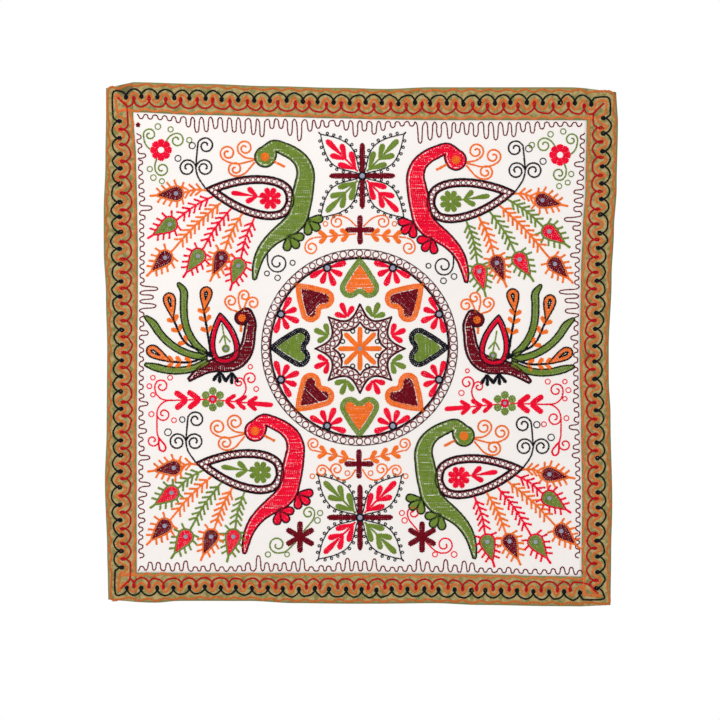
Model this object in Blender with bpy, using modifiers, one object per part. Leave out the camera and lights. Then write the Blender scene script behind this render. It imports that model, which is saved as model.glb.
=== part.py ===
"""Embroidered square wall hanging: a pale cotton panel, four border strips round it and small mirrors.

The hanging faces -Y and hangs in the XZ plane. The origin is the middle of its top edge, which holds it up.
Lengths in the tables are in millimetres, measured on the cloth from the middle of the round medallion.
"""

import math

import bpy
from mathutils import Vector

MM = 0.001
TOP_ABOVE_MEDALLION = 455.0  # mm from the medallion's centre up to the middle of the top edge
PANEL_THICK = 1.2
STRIP_THICK = 1.8
MIRROR_THICK = 0.8
SEAM_GAP = 0.3  # mm between cloths that are sewn edge to edge
MIRROR_GAP = 0.4  # mm between a mirror's back and the cloth it is sewn to
PANEL_CELLS = 26
STRIP_CELLS_ACROSS = 2
MIRROR_SIDES = 16
CORNER_DROP = 2.5  # how far the outer corners of the side strips draw in

# Where each edge runs. along is a place on the side, outer the cloth's edge, inner its seam with the panel.
OUTER = 1
INNER = 2
TOP_SIDE = [
    # along, outer, inner
    (-447, 458, 413),
    (-425, 461, 413),
    (-400, 466, 413),
    (-280, 463, 408),
    (-155, 459, 405),
    (-35, 456, 402),
    (45, 454, 400),
    (127, 457, 399),
    (370, 457, 399),
    (450, 451, 399),
]
BOTTOM_SIDE = [
    # along, outer, inner
    (-445, -447, -397),
    (-360, -450, -397),
    (-318, -447, -398),
    (-197, -447, -398),
    (-116, -451, -398),
    (5, -452, -398),
    (127, -451, -399),
    (210, -454, -400),
    (330, -456, -403),
    (440, -457, -405),
]
LEFT_SIDE = [
    # along, outer, inner
    (-438, -443, -393),
    (-360, -445, -393),
    (-236, -449, -393),
    (-150, -446, -393),
    (-10, -445, -392),
    (90, -447, -391),
    (170, -451, -391),
    (240, -451, -392),
    (330, -448, -394),
    (413, -447, -399),
]
RIGHT_SIDE = [
    # along, outer, inner
    (-447, 441, 390),
    (-366, 442, 390),
    (-280, 444, 391),
    (-120, 441, 389),
    (-60, 438, 387),
    (0, 438, 387),
    (120, 443, 389),
    (205, 447, 392),
    (282, 452, 397),
    (400, 454, 399),
    (444, 451, 399),
]

# Soft folds of the hanging cloth. Each leans from at_top to at_foot and is deepest at the height middle.
FOLDS = [
    # at_top, at_foot, half_width, depth, middle, reach
    (-350, -330, 46, 3.4, 60, 330),
    (-236, -250, 38, -2.2, 240, 260),
    (-120, -150, 52, 2.0, -90, 420),
    (70, 40, 60, -2.4, 140, 380),
    (205, 235, 48, 2.2, 260, 240),
    (300, 330, 50, -2.8, -120, 330),
    (410, 400, 40, 2.6, 120, 260),
]
RIPPLE_REACH = 70.0  # mm that the pucker of the heavy border reaches in from an edge
RIPPLES = {
    # edge: depth, pitch, phase
    "left": (1.5, 132, 0.6),
    "right": (1.5, 152, 2.1),
    "bottom": (1.5, 142, 1.2),
    "top": (0.6, 123, 0.0),
}
SLOPE_STEP = 4.0  # mm each way over which the cloth's slope is measured

FEATHER_MIRROR = 8.0
RING_MIRROR = 9.0
CENTRE_MIRROR = 8.0
BIRD_MIRROR = 6.5
FAN_COUNT = 8
FAN_RADIUS = 150.5

# Mirrors of the feather eyes as (x, z), one row for each peacock, from its highest or outermost feather on.
FEATHER_MIRRORS = {
    "upper_left": [(-324, 270), (-335, 216), (-343, 157), (-285, 160), (-244, 157), (-214, 143)],
    "upper_right": [(321, 258), (333, 203), (343, 146), (281, 154), (241, 148), (210, 133)],
    "lower_left": [(-328, -213), (-332, -257), (-344, -315), (-307, -334), (-262, -334), (-223, -334)],
    "lower_right": [(333, -224), (333, -266), (354, -324), (309, -343), (263, -342), (224, -343)],
}
# The other single mirrors.
SINGLE_MIRRORS = [
    # name, x, z, diameter
    ("star_mirror", 0, -3, CENTRE_MIRROR),
    ("upper_cross_mirror", 4, 301, RING_MIRROR),
    ("lower_cross_mirror", 0, -300, RING_MIRROR),
    ("left_band_mirror", -259, -92, BIRD_MIRROR),
    ("right_band_mirror", 255, -99, BIRD_MIRROR),
    ("left_bird_mirror", -236, -3, BIRD_MIRROR),
    ("right_bird_mirror", 234, -15, BIRD_MIRROR),
]

COLOURS = {
    # material: red, green, blue, roughness, metallic
    "cotton": (0.88, 0.82, 0.74, 0.9, 0.0),
    "olive_cloth": (0.36, 0.30, 0.12, 0.92, 0.0),
    "mirror": (0.62, 0.66, 0.74, 0.12, 1.0),
}


def clear_scene():
    for obj in list(bpy.data.objects):
        bpy.data.objects.remove(obj)


def material(name):
    red, green, blue, roughness, metallic = COLOURS[name]
    made = bpy.data.materials.new(name)
    made.use_nodes = True
    shader = made.node_tree.nodes["Principled BSDF"]
    shader.inputs["Base Color"].default_value = (red, green, blue, 1.0)
    shader.inputs["Roughness"].default_value = roughness
    shader.inputs["Metallic"].default_value = metallic
    return made


def mix(a, b, share):
    return a + (b - a) * share


def eased(share):
    return share * share * (3 - 2 * share)


def edge(rows, along, column):
    """Where a side's edge runs, at a place along it. column is OUTER or INNER."""
    if along <= rows[0][0]:
        return rows[0][column]
    for before, after in zip(rows, rows[1:]):
        if along <= after[0]:
            share = (along - before[0]) / (after[0] - before[0])
            return mix(before[column], after[column], eased(share))
    return rows[-1][column]


def ripple(x, z):
    """The pucker of the border, strongest at the cloth's edges."""
    inwards = {
        # edge: how far in from it the place is, how far along it
        "left": (x - edge(LEFT_SIDE, z, OUTER), z),
        "right": (edge(RIGHT_SIDE, z, OUTER) - x, z),
        "bottom": (z - edge(BOTTOM_SIDE, x, OUTER), x),
        "top": (edge(TOP_SIDE, x, OUTER) - z, x),
    }
    total = 0.0
    for name, (depth, pitch, phase) in RIPPLES.items():
        distance, along = inwards[name]
        total += depth * math.exp(-distance / RIPPLE_REACH) * math.sin(2 * math.pi * along / pitch + phase)
    return total


def raw_fold(x, z):
    depth_here = ripple(x, z)
    for at_top, at_foot, half_width, depth, middle, reach in FOLDS:
        crest = mix(at_foot, at_top, (z + TOP_ABOVE_MEDALLION) / (2 * TOP_ABOVE_MEDALLION))
        across = (x - crest) / half_width
        down = (z - middle) / reach
        depth_here += depth * math.exp(-0.5 * across * across) * math.exp(-0.5 * down * down)
    return depth_here


FOLD_AT_MOUNT = raw_fold(0.0, TOP_ABOVE_MEDALLION)


def fold(x, z):
    """How far the middle of the cloth stands behind the mount's plane, in millimetres."""
    return raw_fold(x, z) - FOLD_AT_MOUNT


def placed(x, z, y):
    """A place on the cloth, in millimetres, as a point of the part's frame, in metres."""
    return Vector((x, y, z - TOP_ABOVE_MEDALLION)) * MM


def panel_point(share_x, share_z):
    """A point of the panel. The shares run from the left seam to the right and from the foot to the top."""
    x = mix(LEFT_SIDE[0][INNER], RIGHT_SIDE[0][INNER], share_x)
    for _ in range(2):
        z = mix(edge(BOTTOM_SIDE, x, INNER), edge(TOP_SIDE, x, INNER), share_z)
        x = mix(edge(LEFT_SIDE, z, INNER), edge(RIGHT_SIDE, z, INNER), share_x)
    return x, z


def side_strip_point(side, share_across, row):
    """A point of the left (-1) or right (1) strip, from its seam outwards. Rows count up from the foot."""
    rows = LEFT_SIDE if side < 0 else RIGHT_SIDE
    share_x = 0.0 if side < 0 else 1.0
    if 1 <= row <= PANEL_CELLS + 1:
        seam_x, seam_z = panel_point(share_x, (row - 1) / PANEL_CELLS)
        outer_z = seam_z
    else:
        end_rows, end = (TOP_SIDE, 1) if row else (BOTTOM_SIDE, -1)
        seam_x = panel_point(share_x, 1.0 if row else 0.0)[0]
        seam_z = edge(end_rows, seam_x, OUTER)
        outer_z = edge(end_rows, edge(rows, seam_z, OUTER), OUTER) - end * CORNER_DROP
    x = mix(seam_x + side * SEAM_GAP, edge(rows, outer_z, OUTER), share_across)
    return x, mix(seam_z, outer_z, share_across)


def end_strip_point(end, share_across, column):
    """A point of the bottom (-1) or top (1) strip, from its seam outwards. Columns count from the left."""
    rows = BOTTOM_SIDE if end < 0 else TOP_SIDE
    share_x = column / PANEL_CELLS
    x, z = panel_point(share_x, 0.0 if end < 0 else 1.0)
    x -= SEAM_GAP * (share_x - 0.5)
    return x, mix(z + end * SEAM_GAP, edge(rows, x, OUTER), share_across)


def cloth_sheet(name, columns, rows, point, thick, look, collection):
    """A sheet of cloth: a grid laid on the folds and given its thickness. point places a column and row."""
    bpy.ops.mesh.primitive_grid_add(x_subdivisions=columns, y_subdivisions=rows, size=1.0)
    sheet = bpy.context.object
    sheet.name = name
    for vertex in sheet.data.vertices:
        column = round((vertex.co.x + 0.5) * columns)
        row = round((vertex.co.y + 0.5) * rows)
        x, z = point(column, row)
        vertex.co = placed(x, z, fold(x, z))
    wall = sheet.modifiers.new("cloth_thickness", "SOLIDIFY")
    wall.thickness = thick * MM
    wall.offset = 0.0
    sheet.data.materials.append(look)
    keep_in(sheet, collection)


def keep_in(obj, collection):
    for other in obj.users_collection:
        other.objects.unlink(obj)
    collection.objects.link(obj)


def build_panel(look, collection):
    def point(column, row):
        return panel_point(column / PANEL_CELLS, row / PANEL_CELLS)

    cloth_sheet("ground_panel", PANEL_CELLS, PANEL_CELLS, point, PANEL_THICK, look, collection)


def build_side_strip(name, side, look, collection):
    def point(column, row):
        share = column / STRIP_CELLS_ACROSS
        return side_strip_point(side, share if side > 0 else 1 - share, row)

    cloth_sheet(name, STRIP_CELLS_ACROSS, PANEL_CELLS + 2, point, STRIP_THICK, look, collection)


def build_end_strip(name, end, look, collection):
    def point(column, row):
        share = row / STRIP_CELLS_ACROSS
        return end_strip_point(end, share if end > 0 else 1 - share, column)

    cloth_sheet(name, PANEL_CELLS, STRIP_CELLS_ACROSS, point, STRIP_THICK, look, collection)


def fold_normal(x, z):
    """The way the cloth faces at a place, towards the viewer."""
    slope_x = (fold(x + SLOPE_STEP, z) - fold(x - SLOPE_STEP, z)) / (2 * SLOPE_STEP)
    slope_z = (fold(x, z + SLOPE_STEP) - fold(x, z - SLOPE_STEP)) / (2 * SLOPE_STEP)
    return Vector((slope_x, -1.0, slope_z)).normalized()


def build_mirror(name, x, z, diameter, look, collection):
    facing = fold_normal(x, z)
    stand_off = (PANEL_THICK / 2 + MIRROR_GAP + MIRROR_THICK / 2) * MM
    bpy.ops.mesh.primitive_cylinder_add(
        vertices=MIRROR_SIDES,
        radius=diameter / 2 * MM,
        depth=MIRROR_THICK * MM,
        location=placed(x, z, fold(x, z)) + facing * stand_off,
        rotation=facing.to_track_quat("Z", "Y").to_euler(),
    )
    disc = bpy.context.object
    disc.name = name
    disc.data.materials.append(look)
    keep_in(disc, collection)


def build_mirrors(look, collection):
    for corner, places in FEATHER_MIRRORS.items():
        for number, (x, z) in enumerate(places, 1):
            build_mirror(f"{corner}_feather_mirror_{number}", x, z, FEATHER_MIRROR, look, collection)
    for number in range(FAN_COUNT):
        turn = (number + 0.5) * 2 * math.pi / FAN_COUNT
        x = FAN_RADIUS * math.cos(turn)
        z = FAN_RADIUS * math.sin(turn)
        build_mirror(f"fan_mirror_{number + 1}", x, z, RING_MIRROR, look, collection)
    for name, x, z, diameter in SINGLE_MIRRORS:
        build_mirror(name, x, z, diameter, look, collection)


def main():
    clear_scene()
    collection = bpy.data.collections.new("embroidered_hanging")
    bpy.context.scene.collection.children.link(collection)
    cotton = material("cotton")
    olive = material("olive_cloth")
    mirror = material("mirror")
    build_panel(cotton, collection)
    build_side_strip("border_left", -1, olive, collection)
    build_side_strip("border_right", 1, olive, collection)
    build_end_strip("border_top", 1, olive, collection)
    build_end_strip("border_bottom", -1, olive, collection)
    build_mirrors(mirror, collection)


main()
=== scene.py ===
"""Looks of an embroidered square wall hanging: woven cloth, wool chain stitch, mirrors, light and camera.

The motifs are set out on a chart of squares of 1.76 mm. A place on it is (column, row), counted to the
right and down from its upper left corner. Lengths on the cloth are in millimetres.
"""

import math

import bpy
import numpy as np
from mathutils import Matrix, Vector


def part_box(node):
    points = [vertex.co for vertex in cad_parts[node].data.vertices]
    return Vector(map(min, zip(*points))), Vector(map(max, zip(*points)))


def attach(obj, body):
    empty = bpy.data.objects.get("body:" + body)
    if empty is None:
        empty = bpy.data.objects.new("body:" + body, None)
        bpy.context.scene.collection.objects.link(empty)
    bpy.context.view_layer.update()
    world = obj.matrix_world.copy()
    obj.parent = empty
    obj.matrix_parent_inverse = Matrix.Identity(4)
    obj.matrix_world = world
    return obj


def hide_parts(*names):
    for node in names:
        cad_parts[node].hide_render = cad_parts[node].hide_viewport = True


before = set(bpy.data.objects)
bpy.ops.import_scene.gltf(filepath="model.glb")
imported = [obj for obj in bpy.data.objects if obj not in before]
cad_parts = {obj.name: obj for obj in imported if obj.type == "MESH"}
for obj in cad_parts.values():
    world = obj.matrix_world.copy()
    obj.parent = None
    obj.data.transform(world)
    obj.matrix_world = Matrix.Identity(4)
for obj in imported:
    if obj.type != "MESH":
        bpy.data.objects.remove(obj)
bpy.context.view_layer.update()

bl_info = {
    "name": "Embroidered wall hanging",
    "version": (1, 0, 0),
    "blender": (4, 5, 0),
    "location": "View3D > Sidebar > Hanging",
    "description": "Cloth, chain-stitch embroidery and mirrors of a square wall hanging",
    "category": "Object",
}

MM = 0.001
GRID = 1.76  # mm, the side of one square of the chart
CHART_CENTRE = (360.0, 347.0)  # column and row of the medallion's centre

# The cloth's form, as in the solids: lengths in mm from the medallion's centre.
TOP_ABOVE_MEDALLION = 455.0
PANEL_THICK = 1.2
STRIP_THICK = 1.8
SEAM_GAP = 0.15
CORNER_DROP = 2.5
OUTER = 1
INNER = 2
TOP_SIDE = [
    # along, outer, inner
    (-447, 458, 413),
    (-425, 461, 413),
    (-400, 466, 413),
    (-280, 463, 408),
    (-155, 459, 405),
    (-35, 456, 402),
    (45, 454, 400),
    (127, 457, 399),
    (370, 457, 399),
    (450, 451, 399),
]
BOTTOM_SIDE = [
    # along, outer, inner
    (-445, -447, -397),
    (-360, -450, -397),
    (-318, -447, -398),
    (-197, -447, -398),
    (-116, -451, -398),
    (5, -452, -398),
    (127, -451, -399),
    (210, -454, -400),
    (330, -456, -403),
    (440, -457, -405),
]
LEFT_SIDE = [
    # along, outer, inner
    (-438, -443, -393),
    (-360, -445, -393),
    (-236, -449, -393),
    (-150, -446, -393),
    (-10, -445, -392),
    (90, -447, -391),
    (170, -451, -391),
    (240, -451, -392),
    (330, -448, -394),
    (413, -447, -399),
]
RIGHT_SIDE = [
    # along, outer, inner
    (-447, 441, 390),
    (-366, 442, 390),
    (-280, 444, 391),
    (-120, 441, 389),
    (-60, 438, 387),
    (0, 438, 387),
    (120, 443, 389),
    (205, 447, 392),
    (282, 452, 397),
    (400, 454, 399),
    (444, 451, 399),
]
FOLDS = [
    # at_top, at_foot, half_width, depth, middle, reach
    (-350, -330, 46, 3.4, 60, 330),
    (-236, -250, 38, -2.2, 240, 260),
    (-120, -150, 52, 2.0, -90, 420),
    (70, 40, 60, -2.4, 140, 380),
    (205, 235, 48, 2.2, 260, 240),
    (300, 330, 50, -2.8, -120, 330),
    (410, 400, 40, 2.6, 120, 260),
]
RIPPLE_REACH = 70.0
RIPPLES = {
    # edge: depth, pitch, phase
    "left": (1.5, 132, 0.6),
    "right": (1.5, 152, 2.1),
    "bottom": (1.5, 142, 1.2),
    "top": (0.6, 123, 0.0),
}
# Fine relief that only the visual cloth has.
CREASES = [
    # x, half_width, depth
    (-250.0, 1.6, 0.35),
    (-151.0, 1.4, 0.3),
    (118.0, 1.6, 0.25),
]
PUCKERS = [
    # length_x, length_z, depth, phase
    (58.0, 41.0, 0.16, 0.4),
    (37.0, 63.0, 0.14, 1.9),
    (24.0, 29.0, 0.07, 3.1),
]
PANEL_CELLS = 130
STRIP_CELLS_ACROSS = 8
STRIP_CELLS_ALONG = 150
CORNER_CELLS = 9

# Weights of thread: width and height of a row and length of a stitch, in mm.
PLAIN = (3.7, 1.2, 2.8)
FILLING = (4.2, 1.3, 3.5)
BOLD = (4.6, 1.35, 3.1)
FINE = (3.0, 1.05, 2.4)
HAIR = (2.5, 0.9, 2.4)
LOOP = (2.7, 1.0, 2.4)
ZIGZAG_THREAD = (3.1, 1.05, 2.5)
SUNK = 0.3  # mm that a row's foot lies below the cloth's face
ROW_SPACING = 1.72  # squares between the rows of a filled shape
OVERLAP = 1.35  # length of a link over the step from one link to the next
SMOOTH_STEPS = 8
OUTLINE_STEP = 0.45  # squares between the points of an outline that is filled
SHARP_TURN = 0.98  # cosine of the turn between neighbours that gets a point between them
HATCH_SPACING = 1.42  # squares between the rows across a shape
LOOSE_ROWS = 0.2  # share of those rows that stand further off the next, so that the cloth shows between
LOOSE_EXTRA = 0.3
HATCH_SWAY = 0.22  # squares by which the middle of such a row strays
LEEWAY = 0.5  # share of the row spacing by which a filled shape's last row may overlap itself
ON_CLOTH = 0.0
OVER_FILL = 0.3
OVER_LINES = 0.5
ALL_ROWS = 9  # more rows than any filled shape has room for
RUN_GAP = 2.2  # gap, in row spacings, past which a row inside a shape is cut
MIDDLE_SHARE = 0.55  # of a leaf's width, for the row along its middle
UNEVEN_PLACE = 0.03  # how far stitches stray, as a share of their width
UNEVEN_WIDTH = 0.05
UNEVEN_HEIGHT = 0.06
LAST_OVERLAP = 1.1
UNDER_SHARE = 0.985  # part of the bake map's height that the front of the work takes
UNDER_START = 0.99
UNDER_SPAN = 0.009
SHEET_HALF = 0.49  # part of a sheet's bake map that its front takes, and its back
FRONT_START = 0.005
BACK_START = 0.505

# One link of chain stitch: place along, across and up, as shares of its length, width and height.
LINK_POINTS = np.array([
    (0.0, 0.0, 0.15),
    (0.3, 0.5, 0.0),
    (0.3, -0.5, 0.0),
    (0.84, 0.48, 0.0),
    (0.84, -0.48, 0.0),
    (1.03, 0.0, 0.1),
    (0.55, 0.27, 1.0),
    (0.55, -0.27, 1.0),
    (0.5, 0.0, 0.55),
    (0.85, 0.0, 0.8),
])
LINK_FACES = np.array([
    (0, 6, 1), (0, 8, 6), (0, 7, 8), (0, 2, 7), (1, 6, 3), (2, 4, 7),
    (3, 9, 5), (5, 9, 4), (6, 9, 3), (7, 4, 9), (8, 9, 6), (8, 7, 9),
    (1, 2, 0), (3, 2, 1), (3, 4, 2), (5, 4, 3),
])
FRONT_FACES = 12  # the first ones of a link, which show
# One stitch of the back: a low ridge, without the link's hollow.
BACK_POINTS = np.array([
    (0.0, 0.0, 0.0),
    (0.5, 0.5, 0.0),
    (1.0, 0.0, 0.0),
    (0.5, -0.5, 0.0),
    (0.5, 0.0, 1.0),
])
BACK_FACES = np.array([(0, 4, 1), (1, 4, 2), (2, 4, 3), (3, 4, 0), (0, 1, 3), (1, 2, 3)])
BACK_WEIGHT = (1.2, 0.6, 8.0)

SPIRAL_END = 0.2
SPIRAL_EASE = 1.5  # how late a spiral narrows
CURL = 1.5  # turns of a tendril's spiral

ONE_ROW = 3.4  # squares; a shape up to this wide is a single row
MIDDLE_ROW = (0.06, 0.93)  # where a leaf's middle row starts and ends

# Profiles of filled shapes: share of the length, share of the width.
DROP = [(0, 0), (0.03, 0.42), (0.1, 0.78), (0.22, 1.0), (0.4, 0.92), (0.6, 0.66), (0.8, 0.34), (1, 0.02)]
LEAF = [(0, 0.3), (0.2, 0.5), (0.5, 0.85), (0.75, 1.0), (0.9, 0.8), (0.97, 0.45), (1, 0)]
BAR = [(0, 0.75), (0.15, 0.9), (0.5, 1.0), (0.85, 1.0), (0.95, 0.72), (1, 0)]


def mix(a, b, share):
    return a + (b - a) * share


def eased(share):
    return share * share * (3 - 2 * share)


def edge(rows, along, column):
    """Where a side's edge runs, at places along it. column is OUTER or INNER."""
    table = np.array(rows, dtype=float)
    along = np.clip(along, table[0, 0], table[-1, 0])
    after = np.clip(np.searchsorted(table[:, 0], along), 1, len(rows) - 1)
    share = (along - table[after - 1, 0]) / (table[after, 0] - table[after - 1, 0])
    return mix(table[after - 1, column], table[after, column], eased(share))


def ripple(x, z):
    """The pucker of the border, strongest at the cloth's edges."""
    inwards = {
        # edge: how far in from it the place is, how far along it
        "left": (x - edge(LEFT_SIDE, z, OUTER), z),
        "right": (edge(RIGHT_SIDE, z, OUTER) - x, z),
        "bottom": (z - edge(BOTTOM_SIDE, x, OUTER), x),
        "top": (edge(TOP_SIDE, x, OUTER) - z, x),
    }
    total = 0.0
    for name, (depth, pitch, phase) in RIPPLES.items():
        distance, along = inwards[name]
        fading = depth * np.exp(-distance / RIPPLE_REACH)
        total = total + fading * np.sin(2 * math.pi * along / pitch + phase)
    return total


def raw_fold(x, z):
    depth_here = ripple(x, z)
    for at_top, at_foot, half_width, depth, middle, reach in FOLDS:
        crest = mix(at_foot, at_top, (z + TOP_ABOVE_MEDALLION) / (2 * TOP_ABOVE_MEDALLION))
        across = (x - crest) / half_width
        down = (z - middle) / reach
        depth_here = depth_here + depth * np.exp(-0.5 * across * across) * np.exp(-0.5 * down * down)
    return depth_here


FOLD_AT_MOUNT = raw_fold(0.0, TOP_ABOVE_MEDALLION)


def fine_relief(x, z):
    total = 0.0
    for at, half_width, depth in CREASES:
        total = total - depth * np.exp(-0.5 * ((x - at) / half_width) ** 2)
    for length_x, length_z, depth, phase in PUCKERS:
        wave_x = np.sin(2 * math.pi * x / length_x + phase)
        wave_z = np.sin(2 * math.pi * z / length_z + 2 * phase + x / length_x)
        total = total + depth * wave_x * wave_z
    return total


def surface(x, z):
    """How far the middle of the cloth stands behind the mount's plane, in millimetres."""
    return raw_fold(x, z) - FOLD_AT_MOUNT + fine_relief(x, z)


def placed(x, z, y):
    """Places on the cloth, in millimetres, as points of the part's frame, in metres."""
    return np.stack([x, y, z - TOP_ABOVE_MEDALLION], axis=-1) * MM


def panel_point(share_x, share_z):
    x = mix(LEFT_SIDE[0][INNER], RIGHT_SIDE[0][INNER], share_x)
    for _ in range(2):
        z = mix(edge(BOTTOM_SIDE, x, INNER), edge(TOP_SIDE, x, INNER), share_z)
        x = mix(edge(LEFT_SIDE, z, INNER), edge(RIGHT_SIDE, z, INNER), share_x)
    return x, z


def side_strip_point(side, across, up):
    """A place of the left (-1) or right (1) strip. up is 0 to 1 along the seam, and -1 to 2 in all."""
    rows = LEFT_SIDE if side < 0 else RIGHT_SIDE
    share_x = np.full_like(up, 0.0 if side < 0 else 1.0)
    seam_x, seam_z = panel_point(share_x, np.clip(up, 0.0, 1.0))
    seam_x = seam_x + side * SEAM_GAP
    x = mix(seam_x, edge(rows, seam_z, OUTER), across)
    z = seam_z
    for end, end_rows, past in ((-1, BOTTOM_SIDE, -up), (1, TOP_SIDE, up - 1)):
        past = np.clip(past, 0.0, 1.0)
        end_z = edge(end_rows, seam_x, OUTER)
        outer_z = edge(end_rows, edge(rows, end_z, OUTER), OUTER) - end * CORNER_DROP
        end_x = mix(seam_x, edge(rows, outer_z, OUTER), across)
        x = mix(x, end_x, past)
        z = mix(z, mix(end_z, outer_z, across), past)
    return x, z


def end_strip_point(end, across, share_x):
    """A place of the bottom (-1) or top (1) strip, across from its seam outwards."""
    rows = BOTTOM_SIDE if end < 0 else TOP_SIDE
    x, z = panel_point(share_x, np.full_like(share_x, 0.0 if end < 0 else 1.0))
    x = x - SEAM_GAP * (share_x - 0.5)
    return x, mix(z + end * SEAM_GAP, edge(rows, x, OUTER), across)


def on_cloth(points):
    """Chart places as millimetres on the cloth."""
    points = np.asarray(points, dtype=float)
    return (points - CHART_CENTRE) * (GRID, -GRID)


def on_chart(x, z):
    return np.stack([x / GRID + CHART_CENTRE[0], CHART_CENTRE[1] - z / GRID], axis=-1)


def smooth(points, closed=False):
    """A soft curve through points, as a close polyline."""
    points = np.asarray(points, dtype=float)
    if len(points) < 3:
        return points
    if closed:
        padded = np.vstack([points[-1:], points, points[:2]])
    else:
        padded = np.vstack([2 * points[0] - points[1], points, 2 * points[-1] - points[-2]])
    t = (np.arange(SMOOTH_STEPS) / SMOOTH_STEPS)[None, :, None]
    p0, p1, p2, p3 = (padded[i:len(padded) - 3 + i, None, :] for i in range(4))
    curve = 2 * p1 + (p2 - p0) * t + (2 * p0 - 5 * p1 + 4 * p2 - p3) * t * t
    curve = 0.5 * (curve + (3 * p1 - 3 * p2 + p3 - p0) * t * t * t)
    curve = curve.reshape(-1, points.shape[1])
    if not closed:
        curve = np.vstack([curve, points[-1:]])
    return curve


def lengths_along(points):
    steps = np.hypot(*np.diff(points[:, :2], axis=0).T)
    return np.concatenate([[0.0], np.cumsum(steps)])


def evenly(points, step, closed=False):
    """The same line with points a nearly even step apart."""
    if closed:
        points = np.vstack([points, points[:1]])
    along = lengths_along(points)
    count = max(1, round(along[-1] / step))
    places = np.linspace(0.0, along[-1], count + 1)
    if closed:
        places = places[:-1]
    return np.stack([np.interp(places, along, column) for column in points.T], axis=-1)


def turned(vectors):
    """Vectors turned a quarter on the chart, from right to down."""
    return np.stack([-vectors[..., 1], vectors[..., 0]], axis=-1)


def unit(vectors):
    return vectors / np.maximum(np.linalg.norm(vectors, axis=-1, keepdims=True), 1e-9)


def directions(points, closed=False):
    if closed:
        return unit(np.roll(points, -1, axis=0) - np.roll(points, 1, axis=0))
    return unit(np.gradient(points, axis=0))


def spine_outline(stations):
    """The closed outline of a shape from stations (column, row, width) along its middle line."""
    line = evenly(smooth(stations), OUTLINE_STEP)
    sideways = turned(directions(line[:, :2])) * np.maximum(line[:, 2:], 0.0) / 2
    outline = np.vstack([line[:, :2] + sideways, (line[:, :2] - sideways)[::-1]])
    return evenly(outline, OUTLINE_STEP, closed=True)


def profile_outline(root, tip, width, profile):
    """The outline of a drop, leaf or bar from root to tip."""
    root = np.asarray(root, dtype=float)
    tip = np.asarray(tip, dtype=float)
    stations = [(*mix(root, tip, along), width * share) for along, share in profile]
    return spine_outline(stations)


def outward_sense(outline):
    """-1 or 1, for the side of an outline on which its turned directions point outwards."""
    x, y = outline.T
    return -1 if np.sum(x * np.roll(y, -1) - y * np.roll(x, -1)) > 0 else 1


def fanned(outline, inwards):
    """More points where the way inwards turns fast, so that rows stay whole round an inner corner."""
    for _ in range(4):
        after = np.roll(inwards, -1, axis=0)
        sharp = np.flatnonzero(np.sum(inwards * after, axis=1) < SHARP_TURN)
        halfway = mix(outline[sharp], np.roll(outline, -1, axis=0)[sharp], 0.5)
        outline = np.insert(outline, sharp + 1, halfway, axis=0)
        inwards = np.insert(inwards, sharp + 1, unit(inwards[sharp] + after[sharp]), axis=0)
    return outline, inwards


def inset(outline, depth):
    """Rows that run a depth inside a closed outline: a list of (points, closed)."""
    outline = outline[::-outward_sense(outline)]
    outline, inwards = fanned(outline, turned(directions(outline, closed=True)))
    moved = outline + inwards * depth
    away = np.linalg.norm(moved[:, None, :] - outline[None, :, :], axis=-1).min(axis=1)
    kept = away > depth - LEEWAY * ROW_SPACING
    if kept.all():
        return [(moved, True)]
    if not kept.any():
        return []
    first = int(np.argmin(kept))
    moved = np.roll(moved, -first, axis=0)
    kept = np.roll(kept, -first)
    runs = []
    for index in np.flatnonzero(kept):
        near = runs and np.linalg.norm(moved[index] - moved[runs[-1][-1]]) < RUN_GAP * ROW_SPACING
        if near:
            runs[-1].append(index)
        else:
            runs.append([index])
    if len(runs) == 1:
        gap = np.linalg.norm(moved[runs[0][0]] - moved[runs[0][-1]])
        return [(moved[runs[0]], bool(gap < RUN_GAP * ROW_SPACING))]
    return [(moved[run], False) for run in runs if len(run) > 2]


def around(centre, radius, angle):
    """The chart place at a distance from a centre. The angle is in degrees, clockwise from the right."""
    turn = math.radians(angle)
    return (centre[0] + radius * math.cos(turn), centre[1] + radius * math.sin(turn))


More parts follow.
